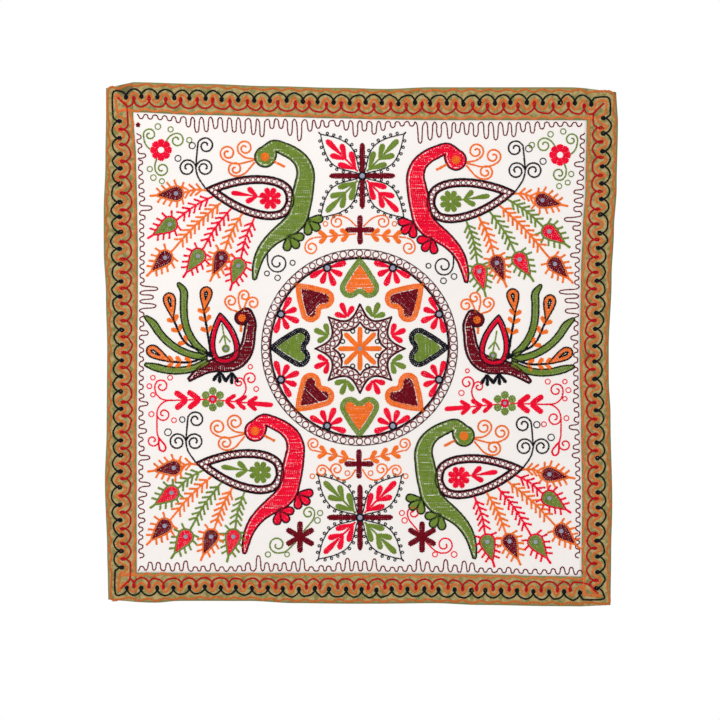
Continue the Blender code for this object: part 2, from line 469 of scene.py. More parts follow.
class Work:
    """The thread work of one motif: rows of chain stitch, gathered by colour."""

    all_rows = []

    def __init__(self, name):
        self.name = name
        self.rows = {}
        self.rng = np.random.default_rng(sum(map(ord, name)))

    def lay(self, colour, line, weight, closed, lift, base):
        """Take a polyline in millimetres as one row."""
        stitch = evenly(line, weight[2], closed)
        if len(stitch) < 2:
            return
        self.rows.setdefault(colour, []).append((stitch, weight, closed, lift, base))
        Work.all_rows.append((colour, line, closed, base))

    def along(self, colour, line, weight, closed, lift=ON_CLOTH):
        self.lay(colour, on_cloth(line), weight, closed, lift, PANEL_THICK)

    def row(self, colour, points, weight=PLAIN, closed=False, lift=ON_CLOTH):
        self.along(colour, smooth(points, closed), weight, closed, lift)

    def edging(self, colour, outline, weight=FINE, lift=OVER_FILL):
        self.along(colour, outline, weight, True, lift)

    def inside(self, colour, outline, depth, weight, lift=ON_CLOTH):
        for line, closed in inset(outline, depth):
            self.along(colour, line, weight, closed, lift)

    def fill(self, outline, *bands, start=0.5, outlined=None, hatched=None):
        """Rows one inside the other, in bands of (colour, how many rows). hatched is (colour, angle) of rows
        across what is left."""
        depth = start
        for colour, count in bands:
            for _ in range(count):
                rows = inset(outline, depth * ROW_SPACING)
                for points, closed in rows:
                    self.along(colour, points, FILLING, closed)
                depth += 1
                if not rows:
                    break
        if hatched:
            colour, angle = hatched
            trim = (depth - 0.35) * ROW_SPACING
            inside = inset(outline, trim)
            if len(inside) == 1 and inside[0][1]:
                self.hatch(colour, inside[0][0], angle, 0.0)
            else:
                self.hatch(colour, outline, angle, trim)
        if outlined:
            self.edging(outlined, outline, PLAIN)

    def hatch(self, colour, outline, angle, trim):
        """Rows side by side across a shape, at an angle from the level, ending a trim inside its edge."""
        turn = math.radians(angle)
        aim = np.array([math.cos(turn), math.sin(turn)])
        aside = np.array([-aim[1], aim[0]])
        along, across = outline @ aim, outline @ aside
        along_next, across_next = np.roll(along, -1), np.roll(across, -1)
        level = across.min() + 0.3 * HATCH_SPACING
        while level < across.max():
            passing = np.flatnonzero((across > level) != (across_next > level))
            share = (level - across[passing]) / (across_next[passing] - across[passing])
            stops = np.sort(mix(along[passing], along_next[passing], share))
            for start, end in zip(stops[::2] + trim, stops[1::2] - trim):
                if end - start > 1.0:
                    middle = mix(start, end, self.rng.uniform(0.3, 0.7))
                    row = np.array([aim * start, aim * middle, aim * end]) + aside * level
                    row += self.rng.normal(0.0, HATCH_SWAY, (3, 2))
                    self.row(colour, row, FILLING)
            level += HATCH_SPACING * (1 + (self.rng.random() < LOOSE_ROWS) * LOOSE_EXTRA)

    def shape(self, colour, root, tip, width, profile=LEAF, outlined=None):
        """A filled leaf or bar, with a row along its middle where the loops round it leave a gap."""
        if width > ONE_ROW:
            self.fill(profile_outline(root, tip, width, profile), (colour, ALL_ROWS), outlined=outlined)
        root = np.asarray(root, dtype=float)
        tip = np.asarray(tip, dtype=float)
        ends = [mix(root, tip, share) for share in MIDDLE_ROW]
        self.row(colour, ends, (max(width * MIDDLE_SHARE * GRID, PLAIN[0]), 1.3, 3.0))

    def ring(self, colour, centre, radius, weight=FINE, lift=ON_CLOTH):
        points = [around(centre, radius, angle) for angle in range(0, 360, 24)]
        self.row(colour, points, weight, True, lift)

    def disc(self, colour, centre, radius, lift=ON_CLOTH):
        reach = radius - 0.5 * ROW_SPACING
        while reach > 0.3:
            self.ring(colour, centre, reach, FILLING, lift)
            reach -= ROW_SPACING
        self.row(colour, [(centre[0] - 0.9, centre[1]), (centre[0] + 0.9, centre[1])], BOLD, False, lift)

    def rings_along(self, colour, line, closed, radius, pitch, weight=HAIR):
        for centre in evenly(line, pitch, closed):
            self.ring(colour, centre, radius, weight)

    def flower(self, colour, centre, count, radius, width, first=0.0, inner=2.5, profile=LEAF):
        for number in range(count):
            angle = first + 360 * number / count
            self.shape(colour, around(centre, inner, angle), around(centre, radius, angle), width, profile)

    def make(self):
        for colour, rows in self.rows.items():
            stitched(f"{self.name}_{colour}", colour, rows)


def link_mesh(name, rows, shape, faces, front):
    """A mesh of stitches along rows. front is 1 for the face of the hanging and -1 for its back."""
    rng = np.random.default_rng(len(rows) + sum(map(ord, name)))
    places, aims, sizes, bases, alongs, tones = [], [], [], [], [], []
    for stitch, weight, closed, lift, base in rows:
        width, height, _ = weight
        aim = np.roll(stitch, -1, axis=0) - stitch if closed else np.diff(stitch, axis=0)
        start = stitch if closed else stitch[:-1]
        count = len(start)
        step = np.linalg.norm(aim, axis=1)
        places.append(start + rng.normal(0.0, UNEVEN_PLACE * width, (count, 2)))
        aims.append(unit(aim))
        length = step * OVERLAP
        if not closed:
            length[-1] = step[-1] * LAST_OVERLAP
        wide = width * (1 + rng.normal(0.0, UNEVEN_WIDTH, count))
        tall = height * (1 + rng.normal(0.0, UNEVEN_HEIGHT, count))
        sizes.append(np.stack([length, wide, tall], axis=-1))
        bases.append(np.full(count, base / 2 - SUNK + lift))
        alongs.append(np.arange(count, dtype=float))
        tones.append(rng.normal(0.0, 0.5) + rng.normal(0.0, 0.5, count))
    places, aims, sizes = (np.concatenate(part) for part in (places, aims, sizes))
    bases, alongs, tones = (np.concatenate(part) for part in (bases, alongs, tones))
    along = shape[None, :, 0] * sizes[:, None, 0]
    across = shape[None, :, 1] * sizes[:, None, 1]
    up = shape[None, :, 2] * sizes[:, None, 2]
    x = places[:, None, 0] + aims[:, None, 0] * along - aims[:, None, 1] * across
    z = places[:, None, 1] + aims[:, None, 1] * along + aims[:, None, 0] * across
    y = surface(x, z) - front * (bases[:, None] + up)
    points = placed(x, z, y).reshape(-1, 3)
    order = faces if front > 0 else faces[:, ::-1]
    corners = (order[None] + len(shape) * np.arange(len(places))[:, None, None]).reshape(-1)
    mesh = bpy.data.meshes.new(name)
    mesh.vertices.add(len(points))
    mesh.vertices.foreach_set("co", points.reshape(-1))
    mesh.loops.add(len(corners))
    mesh.loops.foreach_set("vertex_index", corners)
    mesh.polygons.add(len(corners) // 3)
    mesh.polygons.foreach_set("loop_start", np.arange(0, len(corners), 3))
    mesh.update()
    tone = mesh.attributes.new("tone", "FLOAT", "POINT")
    tone.data.foreach_set("value", np.repeat(tones, len(shape)))
    bake_map(mesh, points, corners, order)
    stitch_map(mesh, alongs, shape, corners)
    mesh.validate()
    mesh.update()
    obj = bpy.data.objects.new(name, mesh)
    bpy.context.scene.collection.objects.link(obj)
    return obj


def add_map(mesh, name, u, v):
    layer = mesh.uv_layers.new(name=name)
    layer.data.foreach_set("uv", np.stack([u, v], axis=-1).astype(np.float32).reshape(-1))


def bake_map(mesh, points, corners, faces):
    """The map that the finish is baked on: the work seen from the front, hidden feet in a thin strip."""
    low = points.min(axis=0)
    span = np.maximum(points.max(axis=0) - low, 1e-6)
    u = (points[corners, 0] - low[0]) / span[0]
    v = (points[corners, 2] - low[2]) / span[2] * UNDER_SHARE
    if len(faces) > FRONT_FACES:
        hidden = np.repeat(np.arange(len(faces)) >= FRONT_FACES, 3)
        hidden = np.tile(hidden, len(corners) // len(hidden))
        v[hidden] = UNDER_START + v[hidden] * UNDER_SPAN
    add_map(mesh, "OFBake", u, v)


def stitch_map(mesh, alongs, shape, corners):
    """u counts the stitches along a row and v runs across it."""
    u = (alongs[:, None] + shape[None, :, 0]).reshape(-1)
    v = np.tile(shape[:, 1] + 0.5, len(alongs))
    add_map(mesh, "stitch", u[corners], v[corners])


def stitched(name, colour, rows, shape=LINK_POINTS, faces=LINK_FACES, front=1):
    obj = link_mesh(name, rows, shape, faces, front)
    obj.data.materials.append(yarn_finish(colour))
    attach(obj, "root")


def linear(red, green, blue):
    """A colour given in steps of 255, as the linear values that shaders use."""
    shares = [value / 255 for value in (red, green, blue)]
    return tuple(s / 12.92 if s <= 0.04045 else ((s + 0.055) / 1.055) ** 2.4 for s in shares)


def colour_setting(name, description, *steps):
    return bpy.props.FloatVectorProperty(
        name=name, description=description, subtype="COLOR", size=3, min=0.0, max=1.0, default=linear(*steps)
    )


class HANGING_PG_yarn(bpy.types.PropertyGroup):
    red: colour_setting("Red", "Yarn of the red birds and sprigs", 236, 8, 52)
    green: colour_setting("Green", "Yarn of the green birds and leaves", 112, 136, 50)
    orange: colour_setting("Orange", "Yarn of the orange hearts and feathers", 246, 116, 38)
    maroon: colour_setting("Maroon", "Yarn of the dark red hearts and rings", 112, 4, 24)
    black: colour_setting("Black", "Yarn of the outlines", 14, 14, 24)
    rust: colour_setting("Rust", "Yarn of the border's waves", 204, 108, 50)
    crimson: colour_setting("Crimson", "Yarn of the border's inner scallops", 190, 14, 28)
    fuzz: bpy.props.FloatProperty(
        name="Fuzz", description="How strongly loose fibres catch the light", default=0.04, min=0.0, max=1.0
    )
    twist_pitch: bpy.props.FloatProperty(
        name="Twist", description="Turns of the yarn's plies in one stitch", default=2.5, min=0.5
    )


class HANGING_PG_cloth(bpy.types.PropertyGroup):
    ground: colour_setting("Ground", "The cotton of the panel", 229, 224, 220)
    khaki: colour_setting("Khaki", "The lighter tone of the border cloth", 178, 154, 104)
    olive: colour_setting("Olive", "The darker tone of the border cloth", 108, 110, 58)
    thread_pitch: bpy.props.FloatProperty(
        name="Weave pitch", description="Distance from thread to thread of the cloth",
        default=0.0008, min=0.0002, unit="LENGTH"
    )


class HANGING_PG_stage(bpy.types.PropertyGroup):
    camera_distance: bpy.props.FloatProperty(
        name="Camera distance", description="From the hanging to the camera", default=6.0, unit="LENGTH"
    )
    lamp_power: bpy.props.FloatProperty(
        name="Lamp power", description="Power of the soft lamp at the upper left", default=38.0, unit="POWER"
    )


class Wire:
    """One output of a material's nodes, so that shader maths is written as plain expressions."""

    def __init__(self, nodes, socket):
        self.nodes = nodes
        self.socket = socket

    def math(self, operation, *others):
        return self.nodes.node("ShaderNodeMath", {"operation": operation}, self, *others)

    def ramp(self, *bounds, kind="LINEAR"):
        """The value taken from one range to another."""
        return self.nodes.node("ShaderNodeMapRange", {"interpolation_type": kind}, self, *bounds)

    def __add__(self, other):
        return self.math("ADD", other)

    __radd__ = __add__

    def __sub__(self, other):
        return self.math("SUBTRACT", other)

    def __mul__(self, other):
        return self.math("MULTIPLY", other)


class Finish:
    """Builds one material from nodes."""

    def __init__(self, name):
        self.material = bpy.data.materials.new(name)
        self.material.use_nodes = True
        self.tree = self.material.node_tree
        self.shader = self.tree.nodes["Principled BSDF"]

    def node(self, kind, settings, *values, output=0, **named):
        """Add a node with its settings, then feed its sockets in order or by name."""
        made = self.tree.nodes.new(kind)
        for key, value in settings.items():
            setattr(made, key, value)
        for index, value in enumerate(values):
            self.feed(made.inputs[index], value)
        for key, value in named.items():
            self.feed(made.inputs[key], value)
        return Wire(self, made.outputs[output])

    def feed(self, socket, value):
        if isinstance(value, Wire):
            self.tree.links.new(value.socket, socket)
        else:
            socket.default_value = value

    def set(self, **values):
        for key, value in values.items():
            self.feed(self.shader.inputs[key.replace("_", " ")], value)

    def place(self):
        return self.node("ShaderNodeTexCoord", {}, output=3)

    def noise(self, vector, scale, detail=2.0):
        return self.node("ShaderNodeTexNoise", {}, Vector=vector, Scale=scale, Detail=detail)

    def blend(self, share, first, second):
        """A colour between two, by a share."""
        made = self.tree.nodes.new("ShaderNodeMix")
        made.data_type = "RGBA"
        self.feed(made.inputs[0], share)
        self.feed(made.inputs[6], first)
        self.feed(made.inputs[7], second)
        return Wire(self, made.outputs[2])

    def bump(self, height, strength, distance):
        relief = self.node("ShaderNodeBump", {}, Height=height, Strength=strength, Distance=distance)
        self.feed(self.shader.inputs["Normal"], relief)


FINISHES = {}


def rgba(colour, scale=1.0):
    return tuple(min(1.0, channel * scale) for channel in colour) + (1.0,)


def yarn_finish(colour):
    """Soft two-ply wool: its tone varies from stitch to stitch, and painted shade darkens a link's groove
    and foot and lays light and dark stripes along the twist of its plies.
    """
    if colour in FINISHES:
        return FINISHES[colour]
    base = tuple(getattr(bpy.context.scene.hanging_yarn, colour))
    finish = Finish(f"{colour}_yarn")
    stitch = finish.node("ShaderNodeUVMap", {"uv_map": "stitch"})
    parts = finish.node("ShaderNodeSeparateXYZ", {}, stitch)
    across = Wire(finish, parts.socket.node.outputs[1])
    tone = finish.node("ShaderNodeAttribute", {"attribute_name": "tone"}, output=2)
    cloudy = finish.noise(finish.place(), 90.0)
    fibres = finish.noise(finish.place(), 1600.0, 3.0)
    turns = bpy.context.scene.hanging_yarn.twist_pitch * 2 * math.pi
    # Painted shade: plies lays light and dark stripes of the twist into the colour, and middle darkens the
    # groove down each link's middle line.
    plies = ((parts + across * 0.8) * turns).math("SINE")
    middle = (across - 0.5).math("ABSOLUTE")
    # tone, cloudy and fibres are the yarn's own changes of tone; plies and middle add painted shade.
    shade = 0.5 + tone * 0.16 + (cloudy - 0.5) * 0.7 + (fibres - 0.5) * 0.7
    shade = shade + plies * 0.12 + (middle - 0.15) * 0.5
    # dark and light are the yarn's colour shaded and lit, light with a trace of white. The blend between
    # them carries both the yarn's own tone and the painted shade.
    dark = rgba(base, 0.72)
    light = rgba(mix(np.array(base), 1.0, 0.006), 1.2)
    finish.set(
        Base_Color=finish.blend(shade, dark, light),
        Roughness=0.86,
        Sheen_Weight=bpy.context.scene.hanging_yarn.fuzz,
        Sheen_Roughness=0.5,
        Sheen_Tint=rgba(base),
        Specular_IOR_Level=0.04,
    )
    finish.bump(plies * 0.35 + fibres, 0.5, 0.0004)
    FINISHES[colour] = finish.material
    return finish.material


def weave(finish, pitch):
    """Threads over and under each other, as a height between 0 and 1."""
    place = finish.node("ShaderNodeSeparateXYZ", {}, finish.place())
    turn = 2 * math.pi / pitch
    warp = (place * turn).math("SINE")
    up = Wire(finish, place.socket.node.outputs[2])
    weft = (up * turn).math("SINE")
    return warp * weft * 0.5 + 0.5


def cotton_finish():
    settings = bpy.context.scene.hanging_cloth
    finish = Finish("cotton_ground")
    base = tuple(settings.ground)
    broad = finish.noise(finish.place(), 5.0, 3.0)
    stretched = finish.node("ShaderNodeMapping", {}, finish.place(), Scale=(900.0, 900.0, 90.0))
    slubs = finish.noise(stretched, 1.0)
    shade = 0.5 + (broad - 0.5) * 0.9 + (slubs - 0.5) * 0.35
    finish.set(
        Base_Color=finish.blend(shade, rgba(base, 0.955), rgba(base, 1.02)),
        Roughness=0.92,
        Sheen_Weight=0.12,
        Specular_IOR_Level=0.2,
    )
    finish.bump(weave(finish, settings.thread_pitch) + slubs * 0.4, 0.25, 0.00025)
    return finish.material


# Dark patches painted at the border's upper corners: centre and reach in metres. The upper left one is the
# painted shadow of the fold where the strips overlap; the upper right one only darkens the cloth there.
CORNER_DARKENINGS = [((-0.4136, 0.0, -0.002), 0.018), ((0.445, 0.0, -0.004), 0.01)]
CORNER_DARKENING_COLOUR = (84, 78, 48)


def border_finish():
    settings = bpy.context.scene.hanging_cloth
    finish = Finish("border_ground")
    khaki = tuple(settings.khaki)
    olive = tuple(settings.olive)
    depth = finish.node("ShaderNodeAttribute", {"attribute_name": "depth"}, output=2)
    patches = finish.noise(finish.place(), 110.0, 3.0)
    grain = finish.noise(finish.place(), 900.0, 2.0)
    rim = (depth - 0.5).math("ABSOLUTE").ramp(0.36, 0.48, 0.0, 0.75, kind="SMOOTHSTEP")
    mottle = patches.ramp(0.42, 0.62, 0.0, 0.85)
    both = mottle.math("MAXIMUM", rim)
    cloth = finish.blend(both, rgba(khaki), rgba(olive))
    # Blend the cloth towards a dark olive round each upper corner: at the upper left this is painted fold
    # shadow.
    for centre, reach in CORNER_DARKENINGS:
        place = finish.place()
        away = finish.node("ShaderNodeVectorMath", {"operation": "DISTANCE"}, place, centre, output=1)
        darkening = away.ramp(0.5 * reach, reach, 0.85, 0.0, kind="SMOOTHSTEP")
        cloth = finish.blend(darkening, cloth, rgba(linear(*CORNER_DARKENING_COLOUR)))
    speck = grain.ramp(0.3, 0.7, 0.0, 0.35)
    finish.set(
        Base_Color=finish.blend(speck, cloth, rgba(olive, 0.8)),
        Roughness=0.93,
        Sheen_Weight=0.15,
        Specular_IOR_Level=0.2,
    )
    finish.bump(weave(finish, settings.thread_pitch * 1.2) + grain * 0.5, 0.35, 0.0003)
    return finish.material


def mirror_finish():
    finish = Finish("old_mirror")
    clouds = finish.noise(finish.place(), 260.0, 3.0)
    specks = finish.noise(finish.place(), 1400.0, 2.0)
    worn = specks.ramp(0.55, 0.75, 0.0, 0.6)
    silver = finish.blend(clouds, rgba(linear(118, 120, 140)), rgba(linear(176, 178, 196)))
    finish.set(
        Base_Color=finish.blend(worn, silver, rgba(linear(96, 92, 104))),
        Metallic=1.0,
        Roughness=0.14 + worn * 0.4,
    )
    return finish.material


def fetched(items, key, size=1, kind=float):
    """One value or point of each of a mesh's items."""
    values = np.empty(len(items) * size, dtype=kind)
    items.foreach_get(key, values)
    return values.reshape(-1, size) if size > 1 else values


def cloth_sheet(name, columns, rows, point, thick, look):
    """A fine sheet of cloth on the folds, and its area. point places arrays of columns and rows."""
    bpy.ops.object.select_all(action="DESELECT")
    bpy.ops.mesh.primitive_grid_add(x_subdivisions=columns, y_subdivisions=rows, size=1.0)
    sheet = bpy.context.object
    sheet.name = name
    flat = fetched(sheet.data.vertices, "co", 3)
    column = np.rint((flat[:, 0] + 0.5) * columns)
    row = np.rint((flat[:, 1] + 0.5) * rows)
    x, z, depth = point(column, row)
    sheet.data.vertices.foreach_set("co", placed(x, z, surface(x, z)).reshape(-1))
    attribute = sheet.data.attributes.new("depth", "FLOAT", "POINT")
    attribute.data.foreach_set("value", depth)
    sheet.data.update()
    area = sum(polygon.area for polygon in sheet.data.polygons)
    sheet.data.uv_layers.remove(sheet.data.uv_layers[0])
    wall = sheet.modifiers.new("cloth_thickness", "SOLIDIFY")
    wall.thickness = thick * MM
    wall.offset = 0.0
    bpy.ops.object.modifier_apply(modifier=wall.name)
    sheet.data.shade_smooth()
    map_sheet(sheet.data)
    sheet.data.materials.append(look)
    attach(sheet, "root")
    return sheet, area


def map_sheet(mesh):
    """The sheet's bake map: its front in the left half, its back in the right half."""
    corners = fetched(mesh.loops, "vertex_index", kind=np.int32)
    points = fetched(mesh.vertices, "co", 3)[corners]
    totals = fetched(mesh.polygons, "loop_total", kind=np.int32)
    behind = np.repeat(fetched(mesh.polygons, "normal", 3)[:, 1] > 0, totals)
    low = points.min(axis=0)
    span = points.max(axis=0) - low
    u = (points[:, 0] - low[0]) / span[0] * SHEET_HALF + np.where(behind, BACK_START, FRONT_START)
    add_map(mesh, "OFBake", u, (points[:, 2] - low[2]) / span[2])


# The motifs are set out from arcs, straight stretches and short profiles. Each kind is drawn once, as it
# stands on the left, in squares right of and below its own middle, and mirrored for the right.
LEFT = 1
RIGHT = -1
COURSE_TURN = 12.0  # degrees between the points of an arc
SWELL_STEP = 11.0  # squares between the stations of a swelling line
LOOP_GAP = 5.5  # squares from a spiral to the middle of a loop beside it
LEAF_LEAN = 36.0  # degrees between a leaf and its stem


def mirror_disc(node):
    """The middle and the radius of a mirror, in millimetres on the cloth."""
    low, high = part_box(node)
    x = (low[0] + high[0]) / 2 / MM
    z = (low[2] + high[2]) / 2 / MM + TOP_ABOVE_MEDALLION
    return x, z, (high[0] - low[0]) / 2 / MM


def mirror_place(node):
    """The chart place of a mirror."""
    x, z, _ = mirror_disc(node)
    return on_chart(x, z)


def set_out(middle, way, points):
    """A motif's own places as places on the chart."""
    return np.asarray(points, dtype=float) * (way, 1) + middle


def course(start, heading, *steps):
    """A line of straight stretches (a length) and arcs (radius, degrees), clockwise if positive."""
    points = [np.array(start, dtype=float)]
    for step in steps:
        if isinstance(step, tuple):
            radius, sweep = step
            reach = math.copysign(radius, sweep)
            turn = math.radians(heading)
            centre = points[-1] + reach * np.array([-math.sin(turn), math.cos(turn)])
            count = math.ceil(abs(sweep) / COURSE_TURN)
            for number in range(1, count + 1):
                turn = math.radians(heading + sweep * number / count)
                points.append(centre - reach * np.array([-math.sin(turn), math.cos(turn)]))
            heading += sweep
        else:
            points.append(np.array(around(points[-1], step, heading)))
    return np.array(points)


def swelling(line, widest, shares):
    """Stations along a line, with widths given as shares of the widest."""
    line = evenly(line, SWELL_STEP)
    along = lengths_along(line)
    places, sizes = zip(*shares)
    widths = widest * np.interp(along / along[-1], places, sizes)
    return np.column_stack([line, widths])


def spot(root, tip, along, aside=0.0):
    """A place at a distance along the way from root to tip, and to the side of it."""
    root = np.asarray(root, dtype=float)
    aim = unit(np.asarray(tip, dtype=float) - root)
    return root + aim * along + turned(aim) * aside


def curls(work, colour, middle, way, table, turns=CURL, weight=PLAIN, loop_radius=2.7):
    """Stems that each run on into a spiral, clockwise if its radius is positive, with small loops at angles
    round it."""
    for start, heading, steps, radius, loop_angles in table:
        stem = course(start, heading, *steps)
        heading += sum(step[1] for step in steps if isinstance(step, tuple))
        sense = math.copysign(1, radius)
        centre = np.array(around(stem[-1], abs(radius), heading + sense * 90))
        count = round(turns * 14)
        spiral = []
        for number in range(1, count + 1):
            share = number / count
            reach = abs(radius) * mix(1.0, SPIRAL_END, share ** SPIRAL_EASE)
            spiral.append(around(centre, reach, heading - sense * (90 - 360 * turns * share)))
        work.row(colour, set_out(middle, way, np.vstack([stem, spiral])), weight)
        for angle in loop_angles:
            place = around(centre, abs(radius) + LOOP_GAP, angle)
            work.ring(colour, set_out(middle, way, place), loop_radius + work.rng.normal(0.0, 0.15), LOOP)


def leafy_stem(work, colour, middle, way, start, heading, length, pairs, leaf, width, profile=LEAF):
    """A straight stem with pairs of leaves at given distances along it."""
    stem = course(start, heading, length)
    work.row(colour, set_out(middle, way, stem))
    for along in pairs:
        root = around(stem[0], along, heading)
        for lean in (-LEAF_LEAN, LEAF_LEAN):
            ends = [root, around(root, leaf, heading + lean)]
            work.shape(colour, *set_out(middle, way, ends), width, profile)


def toes(work, colour, middle, way, root, fan, length, width, outlined):
    root = set_out(middle, way, root)
    for angle in fan:
        tip = root + np.array(around((0, 0), length, angle)) * (way, 1)
        work.shape(colour, root, tip, width, outlined=outlined)


# Peacocks: the middle of the head, which way it stands, and its colours.
PEACOCKS = {
    "upper_left": ((265, 157), LEFT, "green", "red"),
    "upper_right": ((456, 160), RIGHT, "red", "green"),
    "lower_left": ((255, 431), LEFT, "red", "green"),
    "lower_right": ((464, 436), RIGHT, "green", "red"),
}
PEACOCK_HEAD = 10.0
PEACOCK_BODY = ((9, -11), 12, (60, 22), (24, 66), 34, (20, 45), 18, (50, -48), 9)
PEACOCK_WIDTH = 20.0
PEACOCK_SWELL = [
    (0, 0.55), (0.15, 0.65), (0.3, 0.9), (0.4, 1), (0.6, 0.92), (0.72, 0.64), (0.92, 0.37), (1, 0.15),
]
PEACOCK_EYE = 4.4
PEACOCK_BEAK = [(8, 4), (20, 10)]
# Tendrils: the root, the heading, straight stretches and arcs, the spiral's radius, and its loops' angles.
PEACOCK_CREST = [
    ((-10, 2), 185, (6, (14, 50)), 7.5, ()),
    ((-10, 3), 165, (12, (24, 50)), 7.5, ()),
    ((-10, 5), 130, (12, (14, 60)), 7.0, ()),
]
PEACOCK_PLUME = [
    ((-59, 32), 235, (10, (24, 40), 20), 8.0, (180,)),
    ((-69, 10), 255, ((10, -40),), -8.0, (225,)),
    ((-69, 10), 285, ((10, 40),), 8.0, ()),
]
PEACOCK_FEET = [((43, 63), (-5, 42, 90)), ((24, 79), (5, 52, 100))]
SNAIL = [((3, 92), 95, (6, (30, -20)), -9.5, (0, 90, 135))]
WING_ROUND = (29, 45)
WING_TIP = (-59, 32)
WING_WIDTH = 42.0
WING_SIDES = [
    (0, 0), (0.03, 0.45), (0.1, 0.8), (0.25, 1), (0.45, 0.97), (0.65, 0.76), (0.85, 0.4), (1, 0.02),
]
WING_DEPTHS = (1.2, 3.7, 6.2, 7.3)  # of the band's outer row, rings, inner row, and the black row
WING_RINGS = (2.2, 5.4)  # radius and pitch
WING_FLOWER = 24  # along the wing from its round end
WING_SPRIG = [
    # root and tip (along, aside) and width of each leaf
    ((37, 0), (48, -7.5), 5.6), ((37, 0), (48, 7.5), 5.6), ((45, 0), (64, 0), 5.2),
]
WING_STALK = 46
FEATHER_ROOTS = [0.98, 0.9, 0.8, 0.68, 0.55, 0.41]  # shares of the wing's length from its round end
FEATHER_BOW = 2.0
EYE_NECK = 7.0  # from a feather's mirror back to the round end of its drop
EYE_REACH = 18.0  # from the mirror to the drop's tip
EYE_WIDTH = 13.2  # of a feather's drop
HALO_AHEAD = 2.0  # how far the row round the drop goes past its tip, and is wider
HALO_BEHIND = 0.8
TIP_BARB = 8.0
EYE_BARBS = 6.6
EYE_BARB_SWEEP = 0.35
STEM_BARBS = 8.6
STEM_BARB_STEP = 6.2
EYE_BARB_STEP = 5.6
BARB = (4.8, 1.35, 3.0)
HALO = (3.5, 1.2, 2.7)
BARB_LEAN = 45.0  # degrees between a barb and its stem
TOE_WIDTH = 7.6
TOE_LENGTH = 15.0
CREST = (4.3, 1.25, 2.9)
PLUME = (4.0, 1.25, 2.8)
BEAK = (5.8, 1.4, 3.1)
HEAD_ROUND = [(-1.0, 0.0), (-0.92, 0.4), (-0.7, 0.72), (-0.35, 0.94), (0.0, 1.0), (0.4, 0.93)]


def bird_outline(middle, way, radius, body, widest, swell):
    """The outline of a bird's round head and its body."""
    start = unit(np.array(body[0], dtype=float))
    head = [(*(start * along * radius), 2 * radius * share) for along, share in HEAD_ROUND]
    stations = np.vstack([head, swelling(course(*body), widest, swell)])
    stations[:, :2] = set_out(middle, way, stations[:, :2])
    return spine_outline(stations)


def barbs(work, colour, line):
    """Short rows leaning off a feather's stem, in pairs."""
    places = evenly(line, STEM_BARB_STEP)
    turn = math.radians(BARB_LEAN)
    for place, aim in list(zip(places, directions(places)))[1:]:
        for side in (-1, 1):
            out = aim * math.cos(turn) + side * turned(aim) * math.sin(turn)
            work.row(colour, [place, place + out * STEM_BARBS * 0.55, place + out * STEM_BARBS], BARB)


def feather(work, colour, eye_colour, root, mirror, bow):
    """A barbed stem, a drop that holds a mirror, a row round the drop and barbs all round it."""
    aim = unit(mirror - root)
    base = mirror - aim * EYE_NECK
    tip = mirror + aim * EYE_REACH
    middle = mix(root, base, 0.5) + turned(aim) * bow
    line = smooth([root, middle, base - aim])
    work.row(colour, line, BARB)
    barbs(work, colour, line[: len(line) - SMOOTH_STEPS // 2])
    work.fill(profile_outline(base, tip, EYE_WIDTH, DROP), (eye_colour, ALL_ROWS))
    ends = (base - aim * HALO_BEHIND, tip + aim * HALO_AHEAD)
    halo = profile_outline(*ends, EYE_WIDTH + HALO_AHEAD, DROP)
    work.edging(colour, halo, HALO, OVER_FILL)
    work.row(colour, [tip, tip + aim * TIP_BARB], BARB)
    places = evenly(halo, EYE_BARB_STEP, True)
    for place, aim_here in zip(places, directions(places)):
        out = unit(turned(aim_here) * outward_sense(halo) + EYE_BARB_SWEEP * aim)
        if np.dot(place - base, aim) > 0.5:
            work.row(colour, [place, place + out * EYE_BARBS], BARB)


def peacock(place, middle, way, colour, other):
    work = Work(f"{place}_peacock")
    body = bird_outline(middle, way, PEACOCK_HEAD, PEACOCK_BODY, PEACOCK_WIDTH, PEACOCK_SWELL)
    work.fill(body, (colour, 1), outlined="black", hatched=(colour, 0))
    work.disc("orange", middle, PEACOCK_EYE, OVER_LINES)
    work.row("orange", set_out(middle, way, PEACOCK_BEAK), BEAK)
    for root, fan in PEACOCK_FEET:
        toes(work, colour, middle, way, root, fan, TOE_LENGTH, TOE_WIDTH, "black")
    curls(work, "orange", middle, way, PEACOCK_CREST, weight=CREST)
    curls(work, "black", middle, way, PEACOCK_PLUME, weight=PLUME, loop_radius=3.1)
    if place.startswith("upper"):
        curls(work, "black", middle, way, SNAIL)
    work.make()
    wing(place, middle, way, other)
    tail = Work(f"{place}_tail")
    length = math.dist(WING_ROUND, WING_TIP)
    shares, sides = zip(*WING_SIDES)
    for number, share in enumerate(FEATHER_ROOTS):
        half = np.interp(share, shares, sides) * WING_WIDTH / 2
        root = set_out(middle, way, spot(WING_ROUND, WING_TIP, share * length, -half))
        mirror = mirror_place(f"{place}_feather_mirror_{number + 1}")
        stem_colour, eye_colour = (("orange", "maroon"), (other, colour))[number % 2]
        feather(tail, stem_colour, eye_colour, root, mirror, FEATHER_BOW * way)
    tail.make()


def wing(place, middle, way, colour):
    """A drop-shaped wing: an outline, a band of little rings, an inner outline and a sprig."""
    work = Work(f"{place}_wing")
    ends = set_out(middle, way, [WING_ROUND, WING_TIP])
    outline = profile_outline(*ends, WING_WIDTH, WING_SIDES)
    outer, rings, inner, rim = WING_DEPTHS
    work.edging("black", outline, PLAIN)
    work.inside("maroon", outline, outer, HAIR)
    for line, closed in inset(outline, rings):
        work.rings_along("maroon", line, closed, *WING_RINGS)
    work.inside("maroon", outline, inner, FINE)
    work.inside("black", outline, rim, PLAIN, OVER_FILL)

    def at(along, aside=0.0):
        return set_out(middle, way, spot(WING_ROUND, WING_TIP, along, aside))

    work.flower(colour, at(WING_FLOWER), 8, 11.5, 6.0, first=22.5, inner=0.8)
    work.row(colour, [at(WING_FLOWER), at(WING_STALK)])
    for root, tip, width in WING_SPRIG:
        work.shape(colour, at(*root), at(*tip), width)
    work.make()


